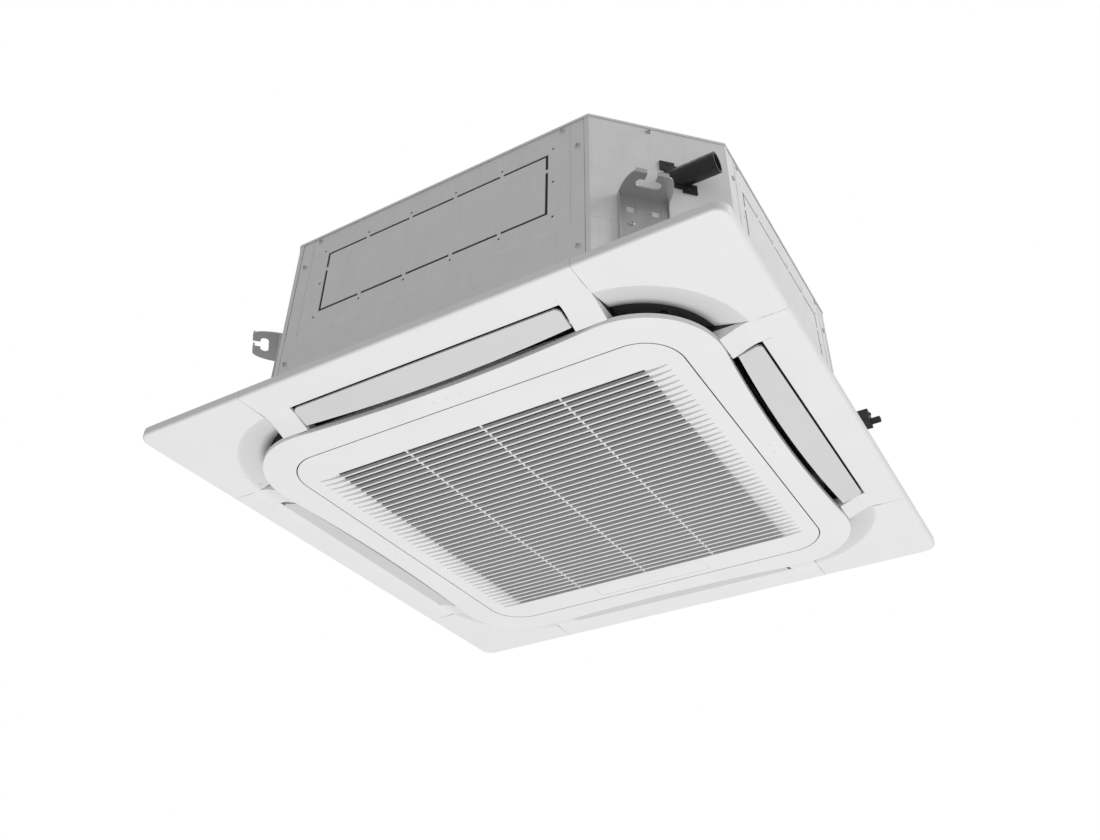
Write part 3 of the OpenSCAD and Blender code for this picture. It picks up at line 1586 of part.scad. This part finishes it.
top_plate();
wall_front();
wall_right();
wall_back();
wall_left();
corner_plate_drain();
corner_plate_pipe();
corner_plate_rear();
corner_plate_left();
hanger_drain();
hanger_pipe();
hanger_rear();
hanger_left();
casing_screws();
foam_lining();
coil_fins();
coil_end_plates();
coil_bends();
gas_pipe();
liquid_pipe();
flare_nut();
pipe_block();
cable_gland();
fan_motor();
motor_dampers();
motor_nuts();
motor_shaft();
turbo_fan();
fan_nut();
bell_mouth();
drain_pan();
drain_pump();
float_stem();
float();
drain_outlet();
control_box();
control_lid();
control_board();
terminal_block();
panel_bolts();
panel_frame();
corner_cover_drain();
corner_cover_pipe();
corner_cover_rear();
corner_cover_left();
centre_frame();
vane_front();
vane_right();
vane_back();
vane_left();
vane_motor_front();
vane_motor_right();
vane_motor_back();
vane_motor_left();
intake_grille();
blank_plate();
air_filter();
grille_catches();
panel_seal();
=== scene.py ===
"""Ceiling cassette air conditioner, dressed and lit as a studio picture seen from below."""

import math

import bpy
from bpy.props import FloatProperty, FloatVectorProperty, PointerProperty
from mathutils import Matrix, Vector

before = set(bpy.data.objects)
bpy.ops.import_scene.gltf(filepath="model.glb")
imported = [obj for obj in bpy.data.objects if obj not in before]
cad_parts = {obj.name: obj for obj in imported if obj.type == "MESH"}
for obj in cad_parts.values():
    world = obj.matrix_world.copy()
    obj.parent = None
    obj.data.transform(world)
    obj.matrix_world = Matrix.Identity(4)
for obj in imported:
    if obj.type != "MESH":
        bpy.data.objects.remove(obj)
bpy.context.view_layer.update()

bl_info = {
    "name": "Ceiling cassette air conditioner",
    "version": (1, 0, 0),
    "blender": (4, 5, 0),
    "location": "3D View > Sidebar > Cassette",
    "description": "Finishes and studio for a four-way ceiling cassette",
    "category": "Object",
}

SIDES = ("front", "right", "back", "left")
CORNERS = ("drain", "pipe", "rear", "left")

# Round scoop of the corner covers: its middle from the panel's two centre lines, and its two radii
SCOOP_MIDDLE = 0.25
SCOOP_EDGE = 0.172
SCOOP_LIP = 0.125
# Width over which the painted shade sets in at the scoop's edge and at its lip, and the share of the colour
# that the painted shade leaves there
SCOOP_EDGE_FADE = 0.005
SCOOP_LIP_FADE = 0.014
SCOOP_PAINTED_SHADE = 0.84

# Airways of the outlets, which get painted shade: how far out their outer walls stand, the height from which
# the painted shade makes them black, and the share of the panel's colour left in them
THROAT_OUT = 0.4145
THROAT_FLOOR = -0.0095
THROAT_PAINTED_SHADE = 0.04

# Height of the step in the casing's walls, half the width of the painted highlight along it, and that
# highlight's fade
STEP_HEIGHT = 0.1246
STEP_HIGHLIGHT_HALF_WIDTH = 0.0003
STEP_HIGHLIGHT_FADE = 0.0014

# Filter net's thread spacing, and the coil's fin and louvre spacings
THREAD_STEP = 0.0016
FIN_STEP = 0.0018
LOUVRE_STEP = 0.012

# Colours of the hidden and black pieces
FILTER_BLACK = (0.016, 0.017, 0.019)
SEAL_GREY = (0.075, 0.075, 0.078)
SHELL_GREY = (0.7, 0.7, 0.7)
SCREW_GREY = (0.66, 0.66, 0.67)
MOULDED_BLACK = (0.02, 0.02, 0.021)
DRAIN_BLACK = (0.018, 0.018, 0.02)
RUBBER_BLACK = (0.016, 0.016, 0.016)
COPPER = (0.72, 0.34, 0.2)
BRASS = (0.7, 0.5, 0.22)
FOAM_BLACK = (0.03, 0.031, 0.033)
FIN_GREY = (0.66, 0.68, 0.7)
MOTOR_GREY = (0.4, 0.4, 0.41)
SHAFT_GREY = (0.55, 0.55, 0.56)
FAN_BLACK = (0.028, 0.028, 0.031)
PUMP_WHITE = (0.7, 0.7, 0.68)
BOARD_GREEN = (0.02, 0.11, 0.05)
FLOOR_WHITE = (0.88, 0.88, 0.88)

# Camera: its place, the directions of its right and its up, its sensor's width, its shift and its far limit
CAMERA_PLACE = (0.7283, -1.2734, -0.8811)
CAMERA_RIGHT = (0.86807, 0.49643, -0.00223)
CAMERA_UP = (0.30083, -0.52245, 0.79784)
CAMERA_SENSOR = 36
CAMERA_SHIFT = (-0.0198, -0.0361)
CAMERA_FAR = 60

# Places and diameters of the three lamps, which all look at the unit
LAMP_BELOW = ((0.5, 0.3, -6.3), 4.5)
LAMP_SIDE = ((5.6, 1.8, 3.2), 3.0)
LAMP_ABOVE = ((-1.5, -0.6, 4.5), 3.0)
FLOOR_SIZE = 40


# Settings

class CASSETTE_PG_panel(bpy.types.PropertyGroup):
    white: FloatVectorProperty(name="Panel white", description="Colour of the moulded panel",
                               default=(0.86, 0.86, 0.86), size=3, subtype='COLOR', min=0, max=1)
    vane: FloatVectorProperty(name="Vane", description="Colour of the vanes, slightly greyer than the panel",
                              default=(0.7, 0.7, 0.7), size=3, subtype='COLOR', min=0, max=1)
    gloss: FloatProperty(name="Roughness", description="Roughness of the moulded panel", default=0.42,
                         min=0, max=1, subtype='FACTOR')
    grain: FloatProperty(name="Grain", description="Size of the moulding's fine grain", default=0.0009,
                         min=0.0001, max=0.01, unit='LENGTH', precision=5)
    edge: FloatProperty(name="Edge radius", description="Radius that softens the moulded edges",
                        default=0.0006, min=0, max=0.003, unit='LENGTH', precision=5)


class CASSETTE_PG_casing(bpy.types.PropertyGroup):
    sheet: FloatVectorProperty(name="Casing sheet", description="Colour of the walls and the top plate",
                               default=(0.8, 0.8, 0.802), size=3, subtype='COLOR', min=0, max=1)
    zinc: FloatVectorProperty(name="Zinc", description="Colour of the zinc-coated plates inside",
                              default=(0.74, 0.745, 0.75), size=3, subtype='COLOR', min=0, max=1)
    spangle: FloatProperty(name="Spangle", description="Size of the crystals in the zinc coat", default=0.009,
                           min=0.001, max=0.05, unit='LENGTH')
    bracket: FloatVectorProperty(name="Bracket", description="Colour of the four hanger brackets",
                                 default=(0.58, 0.58, 0.585), size=3, subtype='COLOR', min=0, max=1)


class CASSETTE_PG_studio(bpy.types.PropertyGroup):
    surround: FloatProperty(name="Surround light", description="Strength of the even light from all sides",
                            default=0.44, min=0, max=2)
    lamp: FloatProperty(name="Lamp", description="Power of the large lamp far below the unit", default=232.0,
                        min=0, unit='POWER')
    side_lamp: FloatProperty(name="Side lamp", description="Power of the large lamp beyond the right side",
                             default=180.0, min=0, unit='POWER')
    top_lamp: FloatProperty(name="Top lamp", description="Power of the large lamp overhead", default=30.0,
                            min=0, unit='POWER')
    floor_drop: FloatProperty(name="Floor", description="Distance of the floor below the ceiling line",
                              default=7.0, min=1, unit='LENGTH')
    lens: FloatProperty(name="Lens", description="Focal length of the camera", default=34.05, min=10,
                        unit='CAMERA')


# Finishes

class Finish:
    """A material being put together from nodes that read the piece's own coordinates."""

    def __init__(self, name, colour, roughness=0.5, metallic=0.0):
        self.material = bpy.data.materials.new(name)
        self.material.use_nodes = True
        self.tree = self.material.node_tree
        self.shader = self.tree.nodes["Principled BSDF"]
        self.shader.inputs["Base Color"].default_value = (*colour, 1)
        self.shader.inputs["Roughness"].default_value = roughness
        self.shader.inputs["Metallic"].default_value = metallic
        self.material.diffuse_color = (*colour, 1)
        self.place = self.add("ShaderNodeTexCoord").outputs["Object"]
        self.colour = tuple(colour)
        self.normal = None

    def add(self, kind, **values):
        """A node of that kind; each value goes to the socket or setting of its name."""
        node = self.tree.nodes.new(kind)
        for key, value in values.items():
            socket = node.inputs.get(key.replace("_", " "))
            if socket is None:
                setattr(node, key.lower(), value)
            elif hasattr(value, "is_output"):
                self.tree.links.new(value, socket)
            else:
                socket.default_value = value
        return node

    def join(self, source, node, socket):
        self.tree.links.new(source, node.inputs[socket])

    def stretched(self, x, y, z):
        node = self.add("ShaderNodeMapping", Vector=self.place)
        node.inputs["Scale"].default_value = (x, y, z)
        return node.outputs["Vector"]

    def cloud(self, size, detail=3.0, place=None):
        """Soft noise whose lumps are about size metres across."""
        return self.add("ShaderNodeTexNoise", Vector=place or self.place, Scale=1 / size,
                        Detail=detail).outputs["Fac"]

    def cells(self, size, feature='F1', output="Distance"):
        node = self.add("ShaderNodeTexVoronoi", Vector=self.place, Scale=1 / size)
        node.feature = feature
        return node.outputs[output]

    def ramp(self, fac, low, high, start=0.3, end=0.7):
        """low where fac is start, high where it is end, and even between them."""
        node = self.add("ShaderNodeMapRange", Value=fac)
        for name, value in (("From Min", start), ("From Max", end), ("To Min", low), ("To Max", high)):
            node.inputs[name].default_value = value
        return node.outputs["Result"]

    def tint(self, fac, dark, light, start=0.3, end=0.7):
        """Base colour between dark times and light times the finish's colour."""
        node = self.add("ShaderNodeValToRGB", Fac=fac)
        first, last = node.color_ramp.elements
        first.position, last.position = start, end
        first.color = (*(c * dark for c in self.colour), 1)
        last.color = (*(min(c * light, 1) for c in self.colour), 1)
        self.join(node.outputs["Color"], self.shader, "Base Color")

    def rough(self, fac, low, high, start=0.3, end=0.7):
        self.join(self.ramp(fac, low, high, start, end), self.shader, "Roughness")

    def soften(self, radius):
        """Rounds the look of sharp edges."""
        node = self.add("ShaderNodeBevel", Radius=radius)
        node.samples = 4
        self.normal = node.outputs["Normal"]
        self.join(self.normal, self.shader, "Normal")

    def relief(self, height, depth, strength=1.0):
        """Adds bumps of that depth in metres."""
        node = self.add("ShaderNodeBump", Height=height, Distance=depth, Strength=strength)
        if self.normal is not None:
            self.join(self.normal, node, "Normal")
        self.normal = node.outputs["Normal"]
        self.join(self.normal, self.shader, "Normal")

    def sum(self, operation, first, second=0.0):
        node = self.add("ShaderNodeMath")
        node.operation = operation
        for i, value in enumerate((first, second)):
            if hasattr(value, "is_output"):
                self.tree.links.new(value, node.inputs[i])
            else:
                node.inputs[i].default_value = value
        return node.outputs[0]

    def axes(self):
        return self.add("ShaderNodeSeparateXYZ", Vector=self.place).outputs

    def waves(self, along, step):
        """Humps from 0 to 1, one in each step metres."""
        return self.sum('ABSOLUTE', self.sum('SINE', self.sum('MULTIPLY', along, math.pi / step)))


def moulded(name, colour, roughness, grain, edge, painted_shade=None):
    """Injection-moulded plastic with a fine spark-eroded grain and very slight unevenness.

    An optional function for painted shade takes the finish and returns where its colour is full, 1,
    and where the painted shade darkens it, towards 0."""
    finish = Finish(name, colour, roughness)
    finish.soften(edge)
    plain = finish.cloud(0.07, 2)
    if painted_shade is None:
        finish.tint(plain, 0.985, 1.005)
    else:
        # Painted shade multiplies the base colour here.
        finish.tint(finish.sum('MULTIPLY', painted_shade(finish), finish.ramp(plain, 0.985, 1.0)), 0, 1, 0, 1)
    finish.rough(finish.cloud(0.05, 4), roughness - 0.05, roughness + 0.06)
    finish.relief(finish.cloud(0.16, 1), 0.0004, 0.25)
    finish.relief(finish.cloud(grain, 2), 0.00002, 0.6)
    return finish.material


def painted_scoop_shade(finish):
    """Painted shade: greyer inside the round scoop of a corner cover, most of all at its lip."""
    x, y, _ = finish.axes()
    steps = [finish.sum('SUBTRACT', finish.sum('ABSOLUTE', axis), SCOOP_MIDDLE) for axis in (x, y)]
    from_middle = finish.sum('SQRT', finish.sum('ADD', finish.sum('MULTIPLY', steps[0], steps[0]),
                                                finish.sum('MULTIPLY', steps[1], steps[1])))
    edge = finish.ramp(from_middle, SCOOP_PAINTED_SHADE, 1.0, SCOOP_EDGE - SCOOP_EDGE_FADE, SCOOP_EDGE)
    lip = finish.ramp(from_middle, SCOOP_PAINTED_SHADE, 1.0, SCOOP_LIP, SCOOP_LIP + SCOOP_LIP_FADE)
    return finish.sum('MULTIPLY', edge, lip)


def painted_throat_shade(finish):
    """Painted shade: black inside the outlets, above the vanes."""
    x, y, z = finish.axes()
    across = finish.sum('MAXIMUM', finish.sum('ABSOLUTE', x), finish.sum('ABSOLUTE', y))
    inside = finish.sum('MULTIPLY', finish.sum('LESS_THAN', across, THROAT_OUT),
                        finish.sum('GREATER_THAN', z, THROAT_FLOOR))
    return finish.ramp(inside, 1.0, THROAT_PAINTED_SHADE, 0, 1)


def casing_sheet(colour):
    """Thin coated steel sheet: faint clouding, rolling streaks, and a painted highlight along the step."""
    finish = Finish("casing_sheet", colour, 0.5)
    finish.soften(0.0004)
    clouds = finish.cloud(0.035, 5)
    streaks = finish.cloud(0.004, 3, finish.stretched(1, 1, 0.06))
    mixed = finish.sum('ADD', finish.sum('MULTIPLY', clouds, 0.6), finish.sum('MULTIPLY', streaks, 0.4))
    height = finish.axes()[2]
    off_step = finish.sum('ABSOLUTE', finish.sum('SUBTRACT', height, STEP_HEIGHT))
    # Painted highlight: a bright line along the step, where its folded edge catches the light.
    painted_step_highlight = finish.ramp(off_step, 0.5, 0.0, STEP_HIGHLIGHT_HALF_WIDTH, STEP_HIGHLIGHT_FADE)
    finish.tint(finish.sum('ADD', mixed, painted_step_highlight), 0.965, 1.13, 0.3, 1.0)
    finish.rough(clouds, 0.55, 0.68)
    finish.relief(finish.cloud(0.12, 1), 0.0012, 0.2)
    finish.relief(streaks, 0.00003, 0.5)
    return finish.material


def zinc(name, colour, spangle, roughness, metallic, contrast):
    """Zinc coat with its crystals, each slightly lighter or darker than the next."""
    finish = Finish(name, colour, roughness, metallic)
    finish.soften(0.0004)
    crystals = finish.cells(spangle, output="Color")
    grey = finish.add("ShaderNodeRGBToBW", Color=crystals).outputs["Val"]
    finish.tint(grey, 1 - contrast, 1 + contrast, 0.1, 0.9)
    finish.rough(grey, roughness - contrast, roughness + 2 * contrast, 0.1, 0.9)
    finish.relief(finish.cloud(0.002, 3), 0.00003, 0.5)
    return finish.material


def machined(name, colour, roughness):
    """Turned or drawn metal with fine lines and slight staining."""
    finish = Finish(name, colour, roughness, 1.0)
    finish.soften(0.0003)
    finish.tint(finish.cloud(0.012, 4), 0.82, 1.08)
    finish.rough(finish.cloud(0.006, 3), roughness - 0.06, roughness + 0.16)
    finish.relief(finish.cloud(0.0006, 2), 0.00001, 0.5)
    return finish.material


def bead_foam(name, colour):
    """Moulded bead foam: rounded beads with fine dark joints."""
    finish = Finish(name, colour, 0.85)
    joints = finish.cells(0.0045, 'DISTANCE_TO_EDGE')
    finish.tint(joints, 0.72, 1.06, 0.0, 0.12)
    finish.relief(joints, 0.0005, 0.5)
    finish.relief(finish.cloud(0.0012, 2), 0.0001, 0.5)
    return finish.material


def black_rubber(name, colour, roughness):
    """Dull black moulding with a dusty bloom."""
    finish = Finish(name, colour, roughness)
    finish.soften(0.0006)
    finish.tint(finish.cloud(0.02, 4), 0.8, 1.5)
    finish.rough(finish.cloud(0.01, 3), roughness - 0.12, roughness + 0.12)
    finish.relief(finish.cloud(0.0008, 2), 0.00004, 0.6)
    return finish.material


def woven_filter(colour):
    """Fine square net: threads cross every 1.6 mm, with dark holes between."""
    finish = Finish("filter_net", colour, 0.7)
    x, y, _ = finish.axes()
    waves = [finish.waves(axis, THREAD_STEP) for axis in (x, y)]
    net = finish.sum('MAXIMUM', finish.sum('POWER', waves[0], 3.0), finish.sum('POWER', waves[1], 3.0))
    finish.tint(net, 0.5, 1.6, 0.2, 0.95)
    finish.relief(net, 0.0004, 0.8)
    return finish.material


def fin_pack(colour):
    """Thin upright fins: lines every 1.8 mm along whichever way the coil's face runs."""
    finish = Finish("coil_fins", colour, 0.4, 0.7)
    x, y, z = finish.axes()
    fins = finish.waves(finish.sum('ADD', x, y), FIN_STEP)
    louvres = finish.waves(z, LOUVRE_STEP)
    finish.tint(fins, 0.18, 1.05, 0.0, 0.55)
    finish.relief(finish.sum('ADD', fins, finish.sum('MULTIPLY', louvres, 0.15)), 0.0008, 0.9)
    return finish.material


def circuit_laminate(colour):
    """Green lacquered board with pale tracks under the lacquer."""
    finish = Finish("circuit_laminate", colour, 0.32)
    tracks = finish.add("ShaderNodeTexBrick", Vector=finish.place, Scale=90.0)
    tracks.inputs["Mortar Size"].default_value = 0.035
    finish.tint(tracks.outputs["Fac"], 1.0, 2.4, 0.2, 0.8)
    finish.relief(tracks.outputs["Fac"], 0.00005, 0.5)
    return finish.material


def wear(objects, material):
    """Gives these objects one finish."""
    for thing in objects:
        thing.data.materials.clear()
        thing.data.materials.append(material)


def nodes(*names):
    return [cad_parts[name] for name in names]


def on_each(name, places):
    """The nodes of this name at each of the sides or corners."""
    return nodes(*(f"{name}_{place}" for place in places))


# Steps

class CASSETTE_OT_panel(bpy.types.Operator):
    """Finishes the panel: rim, corner covers, centre frame, vanes and grille"""
    bl_idname = "cassette.panel"
    bl_label = "Panel"

    def execute(self, context):
        look = context.scene.cassette_panel
        wear(nodes("centre_frame", "intake_grille", "blank_plate"),
             moulded("panel_white", look.white, look.gloss, look.grain, look.edge))
        # The frame gets painted shade, black, inside its outlet airways.
        wear(nodes("panel_frame"),
             moulded("frame_white_painted_shade", look.white, look.gloss, look.grain, look.edge, painted_throat_shade))
        # The corner covers get painted shade in their round scoops.
        wear(on_each("corner_cover", CORNERS),
             moulded("cover_white_painted_shade", look.white, look.gloss, look.grain, look.edge, painted_scoop_shade))
        wear(on_each("vane", SIDES),
             moulded("vane_grey", look.vane, look.gloss - 0.04, look.grain, look.edge))
        wear(nodes("grille_catches"), moulded("catch_white", look.vane, 0.4, look.grain, look.edge))
        wear(nodes("air_filter"), woven_filter(FILTER_BLACK))
        wear(nodes("panel_seal"), bead_foam("seal_foam", SEAL_GREY))
        wear(on_each("vane_motor", SIDES), moulded("motor_shell", SHELL_GREY, 0.45, look.grain, 0.0004))
        return {'FINISHED'}


class CASSETTE_OT_casing(bpy.types.Operator):
    """Finishes the casing: walls, corner walls, hangers and screws"""
    bl_idname = "cassette.casing"
    bl_label = "Casing"

    def execute(self, context):
        look = context.scene.cassette_casing
        # The walls and corner plates get a painted highlight along the step.
        wear(on_each("wall", SIDES) + on_each("corner_plate", CORNERS), casing_sheet(look.sheet))
        wear(nodes("top_plate"), zinc("top_zinc", look.sheet, look.spangle, 0.5, 0.15, 0.03))
        wear(on_each("hanger", CORNERS),
             zinc("bracket_zinc", look.bracket, look.spangle * 0.6, 0.36, 0.85, 0.03))
        wear(nodes("casing_screws", "motor_nuts", "fan_nut"), machined("screw_zinc", SCREW_GREY, 0.5))
        wear(nodes("panel_bolts"), black_rubber("bolt_black", MOULDED_BLACK, 0.45))
        return {'FINISHED'}


class CASSETTE_OT_outlets(bpy.types.Operator):
    """Finishes the black drain outlet, the pipe block, the pipes and the cable gland"""
    bl_idname = "cassette.outlets"
    bl_label = "Drain and pipes"

    def execute(self, context):
        wear(nodes("drain_outlet"), black_rubber("drain_black", DRAIN_BLACK, 0.42))
        wear(nodes("pipe_block", "terminal_block"), black_rubber("block_black", MOULDED_BLACK, 0.38))
        wear(nodes("cable_gland", "motor_dampers"), black_rubber("rubber", RUBBER_BLACK, 0.62))
        wear(nodes("gas_pipe", "liquid_pipe", "coil_bends"), machined("copper", COPPER, 0.3))
        wear(nodes("flare_nut"), machined("brass", BRASS, 0.26))
        return {'FINISHED'}


class CASSETTE_OT_inside(bpy.types.Operator):
    """Finishes the fan, motor, coil, drain pan and electrical box"""
    bl_idname = "cassette.inside"
    bl_label = "Inside"

    def execute(self, context):
        look = context.scene.cassette_casing
        grain = context.scene.cassette_panel.grain
        wear(nodes("foam_lining", "drain_pan"), bead_foam("bead_foam", FOAM_BLACK))
        wear(nodes("coil_fins"), fin_pack(FIN_GREY))
        wear(nodes("coil_end_plates", "control_box", "control_lid"),
             zinc("box_zinc", look.zinc, look.spangle * 0.7, 0.42, 0.6, 0.06))
        wear(nodes("fan_motor"), zinc("motor_steel", MOTOR_GREY, 0.004, 0.4, 0.8, 0.04))
        wear(nodes("motor_shaft"), machined("shaft_steel", SHAFT_GREY, 0.2))
        wear(nodes("turbo_fan", "bell_mouth"), moulded("fan_black", FAN_BLACK, 0.4, grain, 0.0006))
        wear(nodes("drain_pump", "float", "float_stem"),
             moulded("pump_white", PUMP_WHITE, 0.4, grain, 0.0005))
        wear(nodes("control_board"), circuit_laminate(BOARD_GREEN))
        return {'FINISHED'}


class CASSETTE_OT_studio(bpy.types.Operator):
    """Sets the camera, the soft lamps, the even surround and the pale floor"""
    bl_idname = "cassette.studio"
    bl_label = "Studio"

    def execute(self, context):
        look = context.scene.cassette_studio
        scene = context.scene
        scene.view_settings.view_transform = 'Standard'
        self.camera(scene, look.lens)
        self.surround(scene, look.surround)
        self.lamp("lamp_below", *LAMP_BELOW, look.lamp)
        self.lamp("lamp_side", *LAMP_SIDE, look.side_lamp)
        self.lamp("lamp_above", *LAMP_ABOVE, look.top_lamp)
        self.floor(-look.floor_drop)
        return {'FINISHED'}

    def camera(self, scene, lens):
        data = bpy.data.cameras.new("camera")
        camera = bpy.data.objects.new("camera", data)
        scene.collection.objects.link(camera)
        right = Vector(CAMERA_RIGHT)
        up = Vector(CAMERA_UP)
        turn = Matrix((right, up, right.cross(up))).transposed()
        camera.matrix_world = Matrix.Translation(CAMERA_PLACE) @ turn.to_4x4()
        data.sensor_fit = 'HORIZONTAL'
        data.sensor_width = CAMERA_SENSOR
        data.lens = lens
        data.shift_x, data.shift_y = CAMERA_SHIFT
        data.clip_end = CAMERA_FAR
        scene.camera = camera

    def surround(self, scene, strength):
        """White where the camera sees it, and of the given strength as light."""
        world = bpy.data.worlds.new("surround")
        world.use_nodes = True
        tree = world.node_tree
        back = tree.nodes["Background"]
        back.inputs["Color"].default_value = (1, 1, 1, 1)
        path = tree.nodes.new("ShaderNodeLightPath")
        level = tree.nodes.new("ShaderNodeMapRange")
        level.inputs["To Min"].default_value = strength
        level.inputs["To Max"].default_value = 1.0
        tree.links.new(path.outputs["Is Camera Ray"], level.inputs["Value"])
        tree.links.new(level.outputs["Result"], back.inputs["Strength"])
        scene.world = world

    def lamp(self, name, place, size, power):
        """Round lamp that looks at the unit and isn't seen itself."""
        data = bpy.data.lights.new(name, 'AREA')
        data.shape = 'DISK'
        data.size = size
        data.energy = power
        lamp = bpy.data.objects.new(name, data)
        lamp.location = place
        lamp.rotation_euler = (-Vector(place)).to_track_quat('-Z', 'Y').to_euler()
        lamp.visible_camera = False
        bpy.context.scene.collection.objects.link(lamp)

    def floor(self, height):
        bpy.ops.object.select_all(action='DESELECT')
        bpy.ops.mesh.primitive_plane_add(size=FLOOR_SIZE, location=(0, 0, height))
        floor = bpy.context.object
        bpy.ops.object.transform_apply(location=True, rotation=True, scale=True)
        floor.name = floor.data.name = "floor"
        finish = Finish("floor_pale", FLOOR_WHITE, 0.7)
        finish.tint(finish.cloud(0.8, 2), 0.99, 1.01)
        wear([floor], finish.material)


class CASSETTE_PT_sidebar(bpy.types.Panel):
    """Shows each group's settings, with the buttons that apply them"""
    bl_idname = "CASSETTE_PT_sidebar"
    bl_label = "Ceiling cassette"
    bl_space_type = 'VIEW_3D'
    bl_region_type = 'UI'
    bl_category = "Cassette"

    def draw(self, context):
        for title, group, operators in LAYOUT:
            box = self.layout.box()
            box.label(text=title)
            settings = getattr(context.scene, group)
            for name in settings.__annotations__:
                box.prop(settings, name)
            for operator in operators:
                box.operator(operator)


LAYOUT = (
    ("Panel", "cassette_panel", ("cassette.panel",)),
    ("Casing", "cassette_casing", ("cassette.casing", "cassette.outlets", "cassette.inside")),
    ("Studio", "cassette_studio", ("cassette.studio",)),
)
CLASSES = (CASSETTE_PG_panel, CASSETTE_PG_casing, CASSETTE_PG_studio, CASSETTE_OT_panel, CASSETTE_OT_casing,
           CASSETTE_OT_outlets, CASSETTE_OT_inside, CASSETTE_OT_studio, CASSETTE_PT_sidebar)


def register():
    for cls in CLASSES:
        bpy.utils.register_class(cls)
    bpy.types.Scene.cassette_panel = PointerProperty(type=CASSETTE_PG_panel)
    bpy.types.Scene.cassette_casing = PointerProperty(type=CASSETTE_PG_casing)
    bpy.types.Scene.cassette_studio = PointerProperty(type=CASSETTE_PG_studio)


def unregister():
    del bpy.types.Scene.cassette_studio
    del bpy.types.Scene.cassette_casing
    del bpy.types.Scene.cassette_panel
    for cls in reversed(CLASSES):
        bpy.utils.unregister_class(cls)


def main():
    register()
    bpy.ops.cassette.studio()
    bpy.ops.cassette.casing()
    bpy.ops.cassette.outlets()
    bpy.ops.cassette.inside()
    bpy.ops.cassette.panel()


if __name__ == "__main__":
    main()
